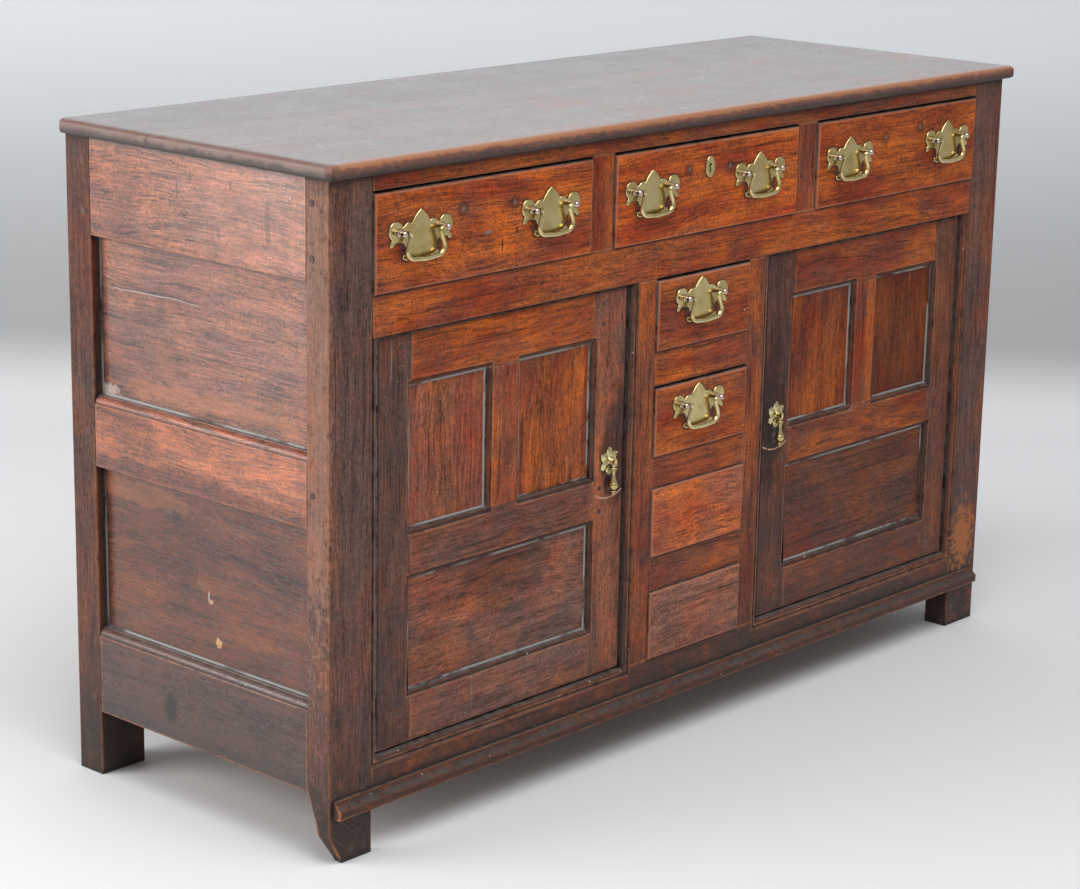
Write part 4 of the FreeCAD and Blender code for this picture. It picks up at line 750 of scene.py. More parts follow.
def oak(name, marks=(), shades=(), arcs=(), **changes):
    """An oak finish; marks are patches with colours, shades lighten or darken, arcs are worn by drops."""
    look = dict(PLAIN, **changes)
    material, tree, shader = new_material(name)
    space = node(tree, "TexCoord").outputs
    place = space["Object"]
    depth, height = split(tree, place)[1:]
    low = rise(tree, height, DAMP_TOP, DAMP_FULL)
    cloud = noise(tree, place, 48.0, 4.0, 0.65)
    openness = corner(tree, CORNER_REACH, inside=False, rays=6)
    to_edge = use(tree, board_edge).outputs["Distance"]
    grain = use(tree, oak_grain, Figure=look["figure"], Mottle=look["mottle"])
    colour = shaded(tree, grain.outputs["Color"], shades)
    colour = damped(tree, colour, low, height, cloud, look["damp"])
    # Grime and painted shade: the corners that the Ambient Occlusion node finds are darkened.
    grime = product(tree, rise(tree, openness, 0.95, 0.66), rise(tree, cloud, -0.3, 0.45), look["grime"])
    colour = mix(tree, grime, colour, GRIME_AND_SHADE)
    colour = jointed(tree, colour, to_edge, cloud, look["joint"])
    if look["bead"]:
        colour = bead_grime_and_shade(tree, colour, depth, look["bead"])
    colour = rubbed_and_highlit(tree, colour, openness, cloud, look)
    dry = total(tree, grain.outputs["Dry"], product(tree, grime, 0.2))
    colour, dry = marked(tree, colour, dry, marks)
    colour = grooved(tree, colour, depth, arcs)
    colour = specked(tree, colour, low, look["specks"])
    colour = waxed_and_highlit(tree, colour, place, openness, to_edge, cloud, look)
    film = use(tree, dust_group, Amount=look["dust"]).outputs["Mask"]
    tree.links.new(mix(tree, film, colour, look["film"]), shader.inputs["Base Color"])
    dull = total(tree, dry, look["rough"], product(tree, film, 0.3))
    tree.links.new(dull, shader.inputs["Roughness"])
    shader.inputs["Specular IOR Level"].default_value = look["shine"]
    if look["coat"]:
        upward = split(tree, space["Normal"])[2]
        coat = product(tree, rise(tree, upward, 0.55, 0.95), look["coat"])
        tree.links.new(coat, shader.inputs["Coat Weight"])
        shader.inputs["Coat Roughness"].default_value = COAT_ROUGHNESS
    waves = product(tree, noise(tree, place, 13.0, 2.0, 0.5), 2.5)
    dents = node(tree, "Bump", Strength=look["bump"], Distance=DENT,
                 Height=total(tree, waves, grain.outputs["Height"]))
    tree.links.new(dents.outputs["Normal"], shader.inputs["Normal"])
    return material


print("an oak finish has", len(PLAIN), "values")

# %% [markdown]
# The marks come from the photograph, each at its real place in metres. A mark is a colour, how much of
# it shows, and a patch: its place, its reach, and an edge, which says how far the patch is warped, how
# ragged it is and how finely. A shade has one gain in place of the colour and the share.
# The end has stains on its top rail, an open crack in its upper panel and a knot low down. Its rails
# carry a painted sheen towards the front, are darker towards the back, and have a painted shadow under
# the middle rail.

# %% Marks on the end
DEEP = 0.02
STAIN = paint(66, 50, 48)
BLACK = paint(20, 16, 16)
PALE = paint(176, 168, 158)
# PAINTED_SHEEN is a painted sheen, paler than the oak itself.
PAINTED_SHEEN = paint(206, 152, 124)
AMBER = paint(186, 114, 68)
CHIP = paint(200, 156, 104)


def on_x(plane, rows):
    """Patches in a plane across X: a row ends with a place and a reach in Y and Z, and with its edge."""
    return [(*head, (plane, y, z), (DEEP, wide, tall), warp, torn, fine)
            for *head, y, z, wide, tall, warp, torn, fine in rows]


end_marks = on_x(END, [
    (STAIN, 0.60, -0.1246, 0.754, 0.006, 0.033, 0.02, 0.6, 90.0),
    (BLACK, 0.80, 0.0582, 0.1236, 0.014, 0.021, 0.01, 0.5, 90.0),
    (STAIN, 0.55, -0.142, 0.802, 0.050, 0.0010, 0.01, 0.2, 90.0),
    # The next two marks are a painted sheen on the top and middle rails.
    (PAINTED_SHEEN, 0.12, -0.11, 0.755, 0.150, 0.080, 0.03, 0.8, 30.0),
    (PAINTED_SHEEN, 0.08, -0.10, 0.460, 0.130, 0.034, 0.02, 0.8, 40.0),
    (PALE, 0.60, -0.1646, 0.2035, 0.012, 0.004, 0.004, 0.6, 150.0),
    (PALE, 0.55, 0.1980, 0.768, 0.0022, 0.045, 0.002, 0.5, 120.0)])
end_marks += on_x(END, [
    (STAIN, 0.6, y, z, 0.0022, tall, 0.004, 0.4, 120.0)
    for y, z, tall in ((0.0105, 0.7928, 0.008), (-0.0594, 0.7921, 0.007), (0.0341, 0.7777, 0.013),
                       (-0.0391, 0.7317, 0.009))])
# Painted light: a painted sheen at the front of the top and middle rails, darker at their back, and a
# painted shadow under the middle rail.
end_painted_sheen_and_shadow = on_x(END, [
    (1.20, -0.12, 0.760, 0.135, 0.085, 0.03, 0.7, 16.0),
    (0.78, 0.17, 0.745, 0.10, 0.090, 0.03, 0.7, 16.0),
    (1.10, -0.14, 0.457, 0.11, 0.032, 0.02, 0.7, 22.0),
    (0.80, 0.15, 0.455, 0.10, 0.050, 0.02, 0.7, 22.0),
    (0.58, 0.02, 0.410, 0.30, 0.024, 0.006, 0.2, 60.0)])
# The first two rows are a painted sheen, lighter at the front of the upper panel and darker at its back;
# the last two are clouds in the lower panel's own colour.
panel_sheen_and_clouds = on_x(SUNK, [
    (1.15, -0.12, 0.625, 0.13, 0.060, 0.03, 0.8, 14.0),
    (0.75, 0.13, 0.565, 0.11, 0.060, 0.04, 0.8, 14.0),
    (0.75, 0.09, 0.335, 0.10, 0.050, 0.04, 0.8, 14.0),
    (1.15, -0.06, 0.245, 0.13, 0.035, 0.04, 0.8, 14.0)])
panel_marks = on_x(SUNK, [
    (AMBER, 0.30, 0.02, 0.520, 0.19, 0.014, 0.01, 1.0, 40.0),
    (AMBER, 0.18, 0.12, 0.384, 0.10, 0.016, 0.01, 1.0, 40.0),
    (BLACK, 0.60, 0.088, 0.6398, 0.112, 0.0012, 0.010, 0.1, 120.0),
    # A painted highlight on the lower lip of the crack.
    (PALE, 0.55, 0.098, 0.6380, 0.100, 0.0010, 0.010, 0.3, 120.0),
    (BLACK, 0.50, -0.075, 0.6415, 0.055, 0.0009, 0.010, 0.1, 120.0),
    (PALE, 0.55, 0.186, 0.507, 0.022, 0.008, 0.0, 0.9, 150.0),
    (PALE, 0.80, 0.0013, 0.280, 0.0014, 0.009, 0.0, 0.1, 120.0),
    (CHIP, 0.9, -0.0031, 0.2745, 0.0032, 0.0032, 0.0, 0.1, 120.0),
    (CHIP, 0.75, -0.0159, 0.2258, 0.0060, 0.0070, 0.0, 1.3, 260.0)])
print("marks on the end", len(end_marks) + len(panel_marks))

# %% [markdown]
# The drawer fronts keep the plugged holes of older handles, and small cracks. The right front stile has
# lost its polish above the foot, and the left one has a painted sheen on its end face.

# %% Marks on the drawer fronts and the stiles
PLUG = paint(62, 40, 34)
LEAD = paint(118, 114, 114)
RAW_OAK = paint(188, 112, 60)
CRISP = (0.0, 0.1, 120.0)
PLUGS = ((-0.4558, 0.762), (-0.3687, 0.7588), (-0.0441, 0.7615), (0.0398, 0.7588), (0.3801, 0.7608),
         (0.4619, 0.7666))


def on_y(plane, rows):
    """Patches in a plane across Y: a row ends with a place and a reach in X and Z, and with its edge."""
    return [(*head, (x, plane, z), (wide, DEEP, tall), warp, torn, fine)
            for *head, x, z, wide, tall, warp, torn, fine in rows]


front_marks = []
for x, z in PLUGS:
    front_marks += on_y(FACE, [(PLUG, 0.55, x, z, 0.011, 0.011, 0.0, 0.4, 120.0),
                               (LEAD, 0.60, x, z, 0.0034, 0.0034, 0.004, 0.5, 300.0)])
front_marks += on_y(FACE, [
    (LEAD, 0.75, -0.4138, 0.7284, 0.0080, 0.0026, *CRISP),
    (BLACK, 0.85, -0.3893, 0.7097, 0.0016, 0.0095, *CRISP),
    (BLACK, 0.75, -0.3645, 0.7252, 0.0022, 0.0045, *CRISP),
    (BLACK, 0.75, 0.4198, 0.7279, 0.0016, 0.0075, *CRISP)])
stile_marks = [
    (RAW_OAK, 0.65, (0.631, FACE, 0.133), (0.030, DEEP, 0.055), 0.02, 1.5, 140.0),
    # A painted sheen on the end face of the left front stile.
    (PAINTED_SHEEN, 0.18, (END, -0.196, 0.56), (0.004, 0.05, 0.32), 0.02, 1.2, 90.0)]
print("marks on the front", len(front_marks) + len(stile_marks))

# %% [markdown]
# The doors are dark where hands pull them open, and a painted shadow runs black along their meeting
# edges, where the gap between them lies. A worn arc lies under each drop, round the stud on which it
# swings.

# %% Marks on the doors
LEFT_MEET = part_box("left_door_stiles")[1].x
RIGHT_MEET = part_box("right_door_stiles")[0].x
MEET_INSET = 0.0003
CLOUDY = (0.05, 0.9, 13.0)


def stud_place(name):
    """The point of a door's face in front of which the drop hangs."""
    low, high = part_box(name)
    return (low.x + high.x) / 2, DOOR, (low.z + high.z) / 2


door_marks = on_y(DOOR, [
    (PALE, 0.45, -0.5643, 0.593, 0.0007, 0.032, 0.008, 0.1, 120.0),
    (PALE, 0.25, -0.4232, 0.157, 0.0008, 0.030, 0.004, 0.1, 120.0),
    (GRIME_AND_SHADE, 0.60, -0.160, 0.425, 0.030, 0.085, 0.02, 0.7, 40.0),
    (GRIME_AND_SHADE, 0.60, 0.160, 0.420, 0.030, 0.120, 0.02, 0.7, 40.0),
    # Painted shadow: the gap at each meeting edge, painted black on the door's face.
    (BLACK, 0.85, LEFT_MEET - MEET_INSET, 0.37, 0.0028, 0.40, 0.002, 0.2, 90.0),
    (BLACK, 0.80, RIGHT_MEET + MEET_INSET, 0.37, 0.0024, 0.40, 0.002, 0.2, 90.0)])
door_arcs = [stud_place("left_door_rose"), stud_place("right_door_rose")]
door_shades = on_y(DOOR, [
    (0.62, -0.36, 0.290, 0.10, 0.045, *CLOUDY),
    (1.16, -0.45, 0.225, 0.09, 0.045, *CLOUDY),
    (1.15, -0.27, 0.275, 0.06, 0.045, *CLOUDY),
    (0.80, 0.40, 0.300, 0.10, 0.045, *CLOUDY),
    (1.12, 0.30, 0.230, 0.08, 0.040, *CLOUDY)])
print("marks on the doors", len(door_marks) + len(door_arcs))

# %% [markdown]
# The top's edges are brown, worn pale along the upper arris, and dark below, which is dark wood and
# painted shade under the overhang. Each is one long patch that runs past both ends of the board. A line
# of dirt fills the joint between the two boards.

# %% Marks on the top
LONG = 2.0
NOSE_BROWN = paint(112, 60, 38)
NOSE_WORN = paint(190, 122, 72)
NOSE_DARK_WOOD_AND_SHADE = paint(40, 26, 22)
SIDE_BROWN = paint(104, 66, 50)
SIDE_DARK_WOOD_AND_SHADE = paint(36, 25, 22)
JOINT_DIRT = paint(76, 50, 38)
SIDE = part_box("top_front_board")[0].x
TOP_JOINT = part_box("top_rear_board")[0].y
top_marks = [
    (NOSE_BROWN, 0.85, (0.0, NOSE, TOP - 0.008), (LONG, 0.012, 0.05), 0.006, 0.6, 60.0),
    (NOSE_WORN, 0.55, (0.0, NOSE + 0.002, TOP - 0.001), (LONG, 0.010, 0.006), 0.006, 0.9, 120.0),
    # The dark band low on the edges is dark wood and painted shade.
    (NOSE_DARK_WOOD_AND_SHADE, 0.85, (0.0, NOSE, TOP - 0.022), (LONG, 0.014, 0.0145), 0.006, 0.4, 90.0),
    (SIDE_BROWN, 0.75, (SIDE, 0.0, TOP - 0.008), (0.016, LONG, 0.05), 0.006, 0.5, 60.0),
    (SIDE_DARK_WOOD_AND_SHADE, 0.85, (SIDE, 0.0, TOP - 0.021), (0.014, LONG, 0.0135), 0.006, 0.5, 60.0),
    (JOINT_DIRT, 0.80, (0.0, TOP_JOINT, TOP), (LONG, 0.0018, DEEP), 0.0, 0.3, 60.0)]
print("marks on the top", len(top_marks))

# %% [markdown]
# The back boards are nailed at both ends and in the middle, with two nails in each place.

# %% Nails in the back
BACK_ROWS = 4
NAIL_INSET = 0.010
NAIL_HEIGHTS = (0.035, 0.150)
NAIL_REACH = (0.0036, DEEP, 0.0036)
back_low, back_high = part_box("back_boards")
back_rise = (back_high.z - back_low.z) / BACK_ROWS
back_marks = []
for row in range(BACK_ROWS):
    for nail in NAIL_HEIGHTS:
        for x in (back_low.x + NAIL_INSET, 0.0, back_high.x - NAIL_INSET):
            spot = (x, BACK, back_low.z + back_rise * row + nail)
            back_marks.append((BLACK, 0.85, spot, NAIL_REACH, 0.0, 0.3, 200.0))
print("nails", len(back_marks))

# %% [markdown]
# Nine finishes come from the recipe. The ends are well polished, the drawer fronts are the most rubbed,
# with a painted highlight along their edges, the panels keep wax in their seams with a painted highlight
# along them, and the top has a thick coat of wax that mirrors whatever stands behind it. The back was
# never polished: it is dry, and dark spots show where the nails are.

# %% The oak finishes of this object
# RUBBED_AND_HIGHLIT_EDGE lines the edges of the drawer fronts: worn wood, and a painted highlight.
RUBBED_AND_HIGHLIT_EDGE = paint(178, 112, 86)
# GREY_DUST_AND_SHEEN is dust on the base moulding's upward faces, and a painted sheen there too.
GREY_DUST_AND_SHEEN = paint(84, 86, 84)
frame_oak = oak("frame oak", stile_marks, specks=0.045, wax=0.25)
base_oak = oak("base oak", dust=0.9, worn=0.9, specks=0.045, film=GREY_DUST_AND_SHEEN)
end_oak = oak("end oak", end_marks, end_painted_sheen_and_shadow, shine=0.6, rough=0.23, scratches=0.14, specks=0.030,
              bump=0.25, figure=1.45, mottle=0.4)
end_panel_oak = oak("end panel oak", panel_marks, panel_sheen_and_clouds, shine=0.6, rough=0.27, specks=0.035,
                    bump=0.25, figure=1.2, mottle=0.45, seam=0.8)
front_oak = oak("drawer front oak", front_marks, rough=0.36, damp=0.2, specks=0.014, worn=1.0,
                joint=RUBBED_AND_HIGHLIT_EDGE)
door_oak = oak("door oak", door_marks, arcs=door_arcs, wax=0.9, bead=0.72, specks=0.035)
door_panel_oak = oak("door panel oak", shades=door_shades, seam=0.9, specks=0.035)
top_oak = oak("top oak", top_marks, shine=0.9, coat=1.0, rough=0.34, grime=0.5, wax=0.0, damp=0.0,
              specks=0.006, scratches=0.25)
back_oak = oak("back oak", back_marks, rough=0.62, shine=0.1, wax=0.0, worn=0.4, damp=0.7, specks=0.01,
               bump=0.6, figure=0.8, mottle=0.3)
print("oak finishes ready")

# %% [markdown]
# Inside, the oak was never polished: it is dry and pale. These boards are hardly seen, so the CAD nodes
# stay, and the finish reads plain object coordinates, with the grain along the length. Pegs show their
# end grain, which has no length.

# %% Inside oak and pegs


def bare_oak(name, light, dark, scale):
    """Unpolished oak, with its grain stretched by scale along the axes of the object."""
    material, tree, shader = new_material(name)
    place = object_place(tree)
    long_lines = streaks(tree, place, scale, 5.0, 0.65)
    stains = noise(tree, place, 6.0, 4.0, 0.6)
    value = total(tree, product(tree, long_lines, 0.7), product(tree, stains, 0.5))
    tree.links.new(mix(tree, rise(tree, value, 0.35, 0.85), dark, light), shader.inputs["Base Color"])
    tree.links.new(total(tree, product(tree, stains, 0.2), 0.6), shader.inputs["Roughness"])
    dents = node(tree, "Bump", Strength=0.4, Distance=0.0006, Height=long_lines)
    tree.links.new(dents.outputs["Normal"], shader.inputs["Normal"])
    return material


DRY_LIGHT = paint(168, 124, 86)
DRY_DARK = paint(102, 68, 46)
long_inside = bare_oak("inside oak along", DRY_LIGHT, DRY_DARK, (3.0, 160.0, 160.0))
deep_inside = bare_oak("inside oak front to back", DRY_LIGHT, DRY_DARK, (160.0, 3.0, 160.0))
peg_oak = bare_oak("peg oak", paint(98, 74, 66), paint(50, 36, 33), (300.0, 300.0, 300.0))
print("bare oak", [item.name for item in (long_inside, deep_inside, peg_oak)])

# %% [markdown]
# Old metal is tarnished here and there, and darker in its corners, which is tarnish and painted shade.
# The posts of a handle are paler than its plate, and depth tells them apart: they start in front of the
# plate.

# %% Brass and iron
DRAWER_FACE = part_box("left_drawer_front")[0].y
POST_START = DRAWER_FACE - 0.00235
POST_FULL = DRAWER_FACE - 0.00355
TARNISH_AND_SHADE = paint(58, 46, 30)
TARNISH_AND_SHADE_REACH = 0.006


def metal(name, bright, dull, rough, spots, post=None):
    """Old metal, with this many tarnished spots in a metre; posts may have a colour of their own."""
    material, tree, shader = new_material(name)
    place = object_place(tree)
    tarnish = noise(tree, place, spots, 4.0, 0.6)
    fine = noise(tree, place, spots * 9.0, 3.0, 0.6)
    colour = mix(tree, rise(tree, tarnish, 0.35, 0.72), bright, dull)
    if post:
        depth = split(tree, place)[1]
        colour = mix(tree, rise(tree, depth, POST_START, POST_FULL), colour, post)
    # Tarnish and painted shade in the corners, found by the Ambient Occlusion node.
    tarnish_and_shade = rise(tree, corner(tree, TARNISH_AND_SHADE_REACH, inside=False, rays=8), 0.85, 0.40)
    colour = mix(tree, product(tree, tarnish_and_shade, 0.8), colour, TARNISH_AND_SHADE)
    tree.links.new(colour, shader.inputs["Base Color"])
    tree.links.new(total(tree, rough, swing(tree, tarnish, 0.2)), shader.inputs["Roughness"])
    shader.inputs["Metallic"].default_value = 1.0
    dents = node(tree, "Bump", Strength=0.06, Distance=0.0004,
                 Height=total(tree, tarnish, product(tree, fine, 0.2)))
    tree.links.new(dents.outputs["Normal"], shader.inputs["Normal"])
    return material


brass = metal("old brass", paint(228, 212, 160), paint(200, 180, 120), 0.20, 45.0)
plate_brass = metal("plate brass", paint(222, 203, 146), paint(194, 170, 108), 0.24, 45.0,
                    paint(206, 188, 178))
iron = metal("rusted iron", paint(70, 62, 58), paint(52, 34, 26), 0.5, 90.0)
print("metals", [item.name for item in (brass, plate_brass, iron)])

# %% [markdown]
# Every visible board gets its worn copy here. A row gives the width of its arris and, for each board
# of the node from left to right and upwards, how light and how warm it is, chosen against the
# photograph: warm drawer fronts and upper rails, grey stiles and feet.

# %% Dress the boards
BOARDS = (
    ("front_left_stile", 0.0016, ((0.77, 0.06),), frame_oak, "oak_frame"),
    ("front_right_stile", 0.0016, ((0.70, 0.25),), frame_oak, "oak_frame"),
    ("rear_stiles", 0.0016, ((0.45, 0.22),), frame_oak, "oak_frame"),
    ("front_top_rail", 0.0008, ((0.75, 0.75),), frame_oak, "oak_frame"),
    ("front_drawer_rail", 0.0012, ((0.88, 0.85),), frame_oak, "oak_frame"),
    ("front_bottom_rail", 0.0012, ((0.64, 0.40),), frame_oak, "oak_frame"),
    ("drawer_muntins", 0.0010, ((0.70, 0.75), (0.75, 0.75)), frame_oak, "oak_frame"),
    ("centre_stiles", 0.0010, ((0.82, 0.75), (0.75, 0.70)), frame_oak, "oak_frame"),
    ("centre_rails", 0.0010, ((0.82, 0.60), (0.85, 0.75), (0.95, 0.90)), frame_oak, "oak_frame"),
    ("opening_mouldings", 0.0, ((0.50, 0.20), (0.60, 0.45), (1.05, 0.80), (0.60, 0.50), (0.60, 0.50),
                                (0.90, 0.80)), frame_oak, "oak_frame"),
    ("back_boards", 0.0020, ((1.30, 0.10), (1.12, 0.05), (1.40, 0.14), (1.20, 0.08)), back_oak,
     "oak_inside"),
    ("base_moulding", 0.0, ((0.70, 0.75),), base_oak, "oak_frame"),
    ("end_rails", 0.0010, ((0.30, 0.25), (0.84, 0.56), (1.00, 0.38)), end_oak, "oak_frame"),
    ("end_panels", 0.0, ((0.35, 0.62), (0.95, 0.27)), end_panel_oak, "oak_panels"),
    ("top_front_board", 0.0, ((1.00, 0.00),), top_oak, "oak_top"),
    ("top_rear_board", 0.0, ((0.72, -0.10),), top_oak, "oak_top"),
    ("left_drawer_front", 0.0, ((0.98, 0.85),), front_oak, "oak_fronts"),
    ("middle_drawer_front", 0.0, ((1.10, 1.05),), front_oak, "oak_fronts"),
    ("right_drawer_front", 0.0, ((0.86, 1.30),), front_oak, "oak_fronts"),
    ("upper_small_drawer_front", 0.0, ((0.78, 0.90),), front_oak, "oak_fronts"),
    ("lower_small_drawer_front", 0.0, ((0.86, 0.90),), front_oak, "oak_fronts"),
    ("dummy_panels", 0.0, ((1.30, 0.25), (1.28, 0.70)), front_oak, "oak_fronts"),
    ("left_door_stiles", 0.0010, ((0.60, 0.10), (0.98, 0.80), (1.02, 0.40)), door_oak, "oak_frame"),
    ("left_door_rails", 0.0010, ((1.25, 0.30), (0.84, 0.28), (0.87, 0.98)), door_oak, "oak_frame"),
    ("left_door_panels", 0.0, ((1.06, 0.50), (1.08, 0.32), (0.88, 0.80)), door_panel_oak, "oak_panels"),
    ("right_door_stiles", 0.0010, ((0.55, 0.25), (0.80, 0.85), (0.62, 0.50)), door_oak, "oak_frame"),
    ("right_door_rails", 0.0010, ((0.60, 0.55), (0.70, 0.75), (0.78, 0.85)), door_oak, "oak_frame"),
    ("right_door_panels", 0.0, ((0.66, 1.00), (0.56, 0.55), (0.40, 0.95)), door_panel_oak, "oak_panels"),
)
count = 0
for name, arris, tones, material, slot in BOARDS:
    count += worn_boards(name, arris, tones, material)
print("worn boards", count)

# %% [markdown]
# The boards inside, the pegs and the ironwork keep their CAD nodes, which only need a material.

# %% Finish the nodes that stay
stays = {"rear_rails": long_inside, "cupboard_floor": long_inside, "partitions": deep_inside,
         "drawer_runners": deep_inside}
for name in nodes:
    if name.endswith("_box"):
        stays[name] = deep_inside
    elif name.endswith("_pegs"):
        stays[name] = peg_oak
    elif name.endswith(("_pivots", "_lock")):
        stays[name] = iron
for name, material in stays.items():
    nodes[name].data.materials.clear()
    nodes[name].data.materials.append(material)
print("nodes that stay", len(stays))

# %% [markdown]
# The handles are cast brass, filed round along the rim of each plate, and that rim is what catches the
# light. A bevel along the outline of the plate's face makes it.
# Bails and drops only need merging, so that their round stretches shade smoothly.

# %% Cast brass handles
FILED = 0.0014
LOOKS_FORWARDS = -0.99


def file_rim(work):
    """Round the rim of the flat plates whose face is the largest one that looks forwards."""
    fronts = [face for face in work.faces if face.normal.y < LOOKS_FORWARDS]
    plate = max(fronts, key=lambda face: face.calc_area()).calc_center_median().y
    fronts = [face for face in fronts if abs(face.calc_center_median().y - plate) < MERGE * 5]
    rim = {edge for face in fronts for edge in face.edges
           if edge.is_convex and edge.calc_face_angle(0.0) > CORNER}
    round_off(work, list(rim), FILED, ROUND_STEPS)
    return len(rim)


filed = 0
for name in nodes:
    if name.endswith("_brasses"):
        plates = merged(name)
        filed += file_rim(plates)
        stand_in("cast_", name, plates, plate_brass)
    elif name.endswith(("_bail", "_drop")):
        stand_in("cast_", name, merged(name), brass)
print("filed rim edges", filed)

# %% [markdown]
# Behind each drop is a rose of six pointed petals with a ridge down each and a bead at each tip. A
# circle is pulled into the outline and given thickness. An inner ring is lifted most along the petals,
# which folds each one along its ridge.

# %% Petals of a rose
PETALS = 6
STEPS = 4
TIP = 0.0175
WAIST = 0.0128
POINTED = 0.7
ROSE_THICK = 0.0012
RING_SHARE = 0.66
RIDGE_LIFT = 0.0021
VALLEY_LIFT = 0.0004
ROSE_CROWN = 0.0016


def lobe(vertex):
    """How far round towards a petal's tip a point is, from 0 between petals to 1 at a tip."""
    angle = math.atan2(vertex.co.y, vertex.co.x) - math.pi / 2
    return abs(math.cos(angle * PETALS / 2)) ** POINTED


def petals(work):
    """The folded petals, flat on the ground and looking up."""
    bmesh.ops.create_circle(work, cap_ends=True, radius=TIP, segments=PETALS * STEPS)
    for vertex in work.verts:
        vertex.co *= (WAIST + (TIP - WAIST) * lobe(vertex)) / TIP
    grown = bmesh.ops.extrude_face_region(work, geom=work.faces[:])
    lifted = [item for item in grown["geom"] if isinstance(item, bmesh.types.BMVert)]
    bmesh.ops.translate(work, verts=lifted, vec=(0.0, 0.0, ROSE_THICK))
    bmesh.ops.recalc_face_normals(work, faces=work.faces)
    crown = [face for face in work.faces if face.normal.z > 0.9]
    inner = bmesh.ops.extrude_face_region(work, geom=crown)
    bmesh.ops.delete(work, geom=crown, context="FACES_ONLY")
    ring = [item for item in inner["geom"] if isinstance(item, bmesh.types.BMVert)]
    bmesh.ops.scale(work, verts=ring, vec=(RING_SHARE, RING_SHARE, 1.0))
    for vertex in ring:
        vertex.co.z += VALLEY_LIFT + (RIDGE_LIFT - VALLEY_LIFT) * lobe(vertex)
    middle_faces = [item for item in inner["geom"] if isinstance(item, bmesh.types.BMFace)]
    bmesh.ops.poke(work, faces=middle_faces, offset=ROSE_CROWN)


print("points round a rose", PETALS * STEPS)

# %% [markdown]
# Small balls make the beads, and a spun profile makes the boss, the stud and its head. The rose is then
# stood up against the door. Every fold of it stays sharp, because these facets catch the light.

# %% Roses
TIP_BEAD = 0.0012
FACET = math.radians(10.0)
STUD_STEPS = 24
STUD_PROFILE = ((0.0072, 0.0014), (0.0040, 0.0050), (0.0020, 0.0056), (0.0020, 0.0107), (0.0032, 0.0109),
                (0.0030, 0.0121), (0.0, 0.0123))
TO_DOOR_FACE = Matrix.Rotation(math.pi / 2, 3, "X")


def tip_beads(work):
    """A bead at the tip of each petal."""
    for number in range(PETALS):
        angle = math.pi / 2 + number * 2 * math.pi / PETALS
        spot = Matrix.Translation((TIP * math.cos(angle), TIP * math.sin(angle), ROSE_THICK * 0.7))
        bmesh.ops.create_icosphere(work, subdivisions=2, radius=TIP_BEAD, matrix=spot)


def stud(work):
    """The boss, the stud and its head, as one spun profile of radius and height."""
    chain = [work.verts.new((radius, 0.0, height)) for radius, height in STUD_PROFILE]
    edges = [work.edges.new(pair) for pair in zip(chain, chain[1:])]
    bmesh.ops.spin(work, geom=chain + edges, axis=(0, 0, 1), cent=(0, 0, 0), angle=2 * math.pi,
                   steps=STUD_STEPS, use_merge=True)


def rose(name):
    """A six-petalled rose in the place of a node, round the axis of its stud."""
    low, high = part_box(name)
    middle = (low + high) / 2
    middle.y = high.y
    work = bmesh.new()
    petals(work)
    tip_beads(work)
    stud(work)
    bmesh.ops.remove_doubles(work, verts=work.verts, dist=MERGE)
    bmesh.ops.recalc_face_normals(work, faces=work.faces)
    bmesh.ops.rotate(work, verts=work.verts, cent=(0, 0, 0), matrix=TO_DOOR_FACE)
    bmesh.ops.translate(work, verts=work.verts, vec=middle)
    return stand_in("cast_", name, work, brass, FACET)


for name in ("left_door_rose", "right_door_rose"):
    print(name, len(rose(name).data.polygons), "faces")

# %% [markdown]
# The stage is a pale sweep: a floor that turns up into a wall behind the object, in one sheet. A bevel
# along the fold makes the turn. Where it turns up, the paper carries a painted shade, darker than the
# floor and the wall.

# %% Floor and wall
FLOOR_HALF = 4.0
WALL_RISE = 4.0
FOLD = 0.9
FOLD_STEPS = 16
FLOOR_SHIFT = (0, -1.7, 0)
FLOOR_PAPER = (0.78, 0.782, 0.785, 1.0)
FOLD_PAINTED_SHADE = (0.40, 0.405, 0.41, 1.0)
WALL_PAPER = (0.70, 0.72, 0.74, 1.0)
sweep = bmesh.new()
bmesh.ops.create_grid(sweep, x_segments=1, y_segments=1, size=FLOOR_HALF)
back_edge = [edge for edge in sweep.edges if all(vertex.co.y > 0 for vertex in edge.verts)]
raised = bmesh.ops.extrude_edge_only(sweep, edges=back_edge)
wall = [item for item in raised["geom"] if isinstance(item, bmesh.types.BMVert)]
bmesh.ops.translate(sweep, verts=wall, vec=(0, 0, WALL_RISE))
round_off(sweep, back_edge, FOLD, FOLD_STEPS)
bmesh.ops.translate(sweep, verts=sweep.verts, vec=FLOOR_SHIFT)
bmesh.ops.rotate(sweep, verts=sweep.verts, cent=(0, 0, 0), matrix=Matrix.Rotation(-HEADING, 3, "Z"))
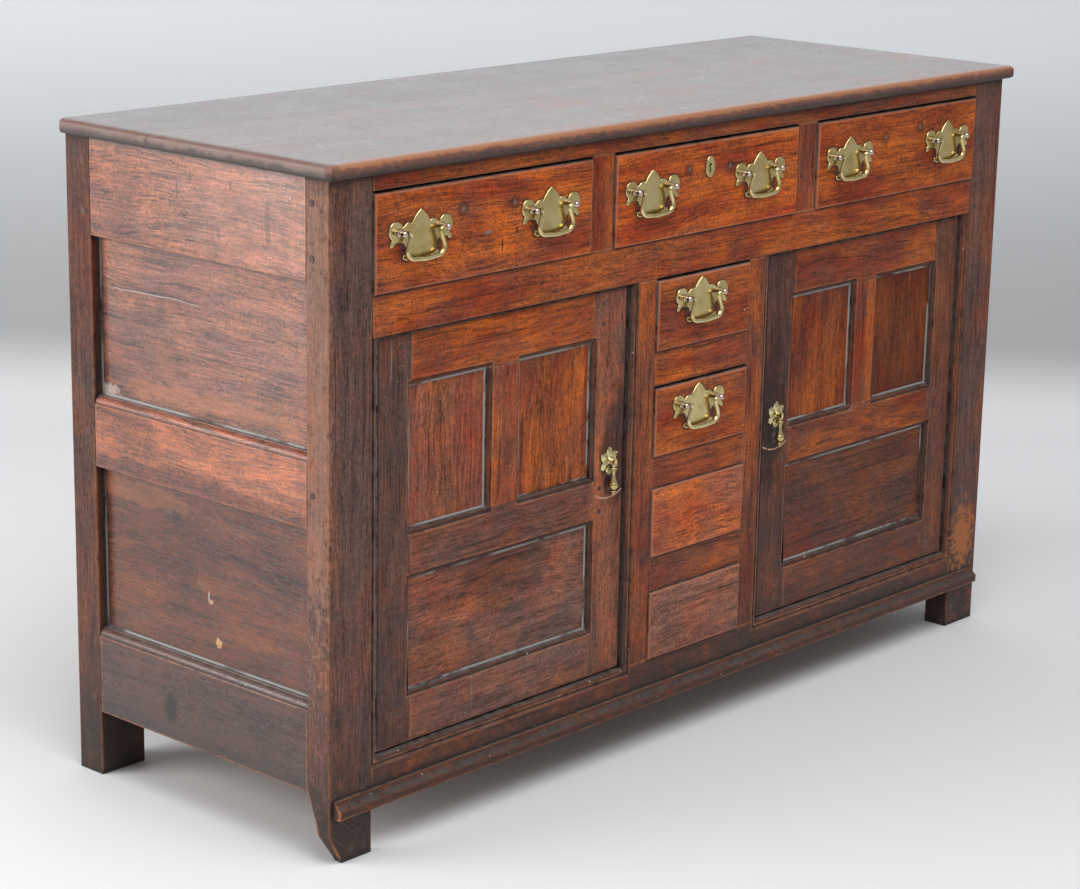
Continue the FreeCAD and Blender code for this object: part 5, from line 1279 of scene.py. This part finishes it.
bmesh.ops.recalc_face_normals(sweep, faces=sweep.faces)
sweep_mesh = bpy.data.meshes.new("floor")
sweep.to_mesh(sweep_mesh)
sweep.free()
floor = bpy.data.objects.new("floor", sweep_mesh)
bpy.context.scene.collection.objects.link(floor)
for polygon in sweep_mesh.polygons:
    polygon.use_smooth = True
paper, tree, shader = new_material("pale paper")
height = split(tree, object_place(tree))[2]
# Painted shade along the fold.
sheet = mix(tree, rise(tree, height, 0.0, 0.10), FLOOR_PAPER, FOLD_PAINTED_SHADE)
sheet = mix(tree, rise(tree, height, 0.12, 0.75), sheet, WALL_PAPER)
tree.links.new(sheet, shader.inputs["Base Color"])
shader.inputs["Roughness"].default_value = 0.8
sweep_mesh.materials.append(paper)
print("floor and wall faces", len(sweep_mesh.polygons))

# %% [markdown]
# A large soft lamp stands at the left and behind, where the end catches it, and another hangs overhead
# in front. A weaker third one, at the right and behind, gives the top its sheen.

# %% Lamps and world
SKY = (0.95, 0.97, 1.0, 1.0)
SKY_STRENGTH = 0.44


def soft_lamp(name, place, aim, size, power):
    """A square soft lamp that faces a point."""
    lamp = bpy.data.lights.new(name, "AREA")
    lamp.shape = "SQUARE"
    lamp.size = size
    lamp.energy = power
    stand = bpy.data.objects.new(name, lamp)
    stand.location = place
    stand.rotation_euler = (Vector(aim) - Vector(place)).to_track_quat("-Z", "Y").to_euler()
    bpy.context.scene.collection.objects.link(stand)


soft_lamp("left lamp", place=(-3.2, 1.6, 1.3), aim=(-0.4, 0.0, 0.5), size=2.2, power=96.0)
soft_lamp("overhead lamp", place=(-0.8, -1.6, 3.4), aim=(0.0, 0.0, 0.4), size=2.4, power=84.0)
soft_lamp("rear lamp", place=(2.1, 1.9, 2.0), aim=(0.0, 0.0, 0.8), size=1.4, power=44.0)
world = bpy.data.worlds.new("World")
bpy.context.scene.world = world
world.use_nodes = True
world.node_tree.nodes["Background"].inputs["Color"].default_value = SKY
world.node_tree.nodes["Background"].inputs["Strength"].default_value = SKY_STRENGTH
print("lamps", len(bpy.data.lights))
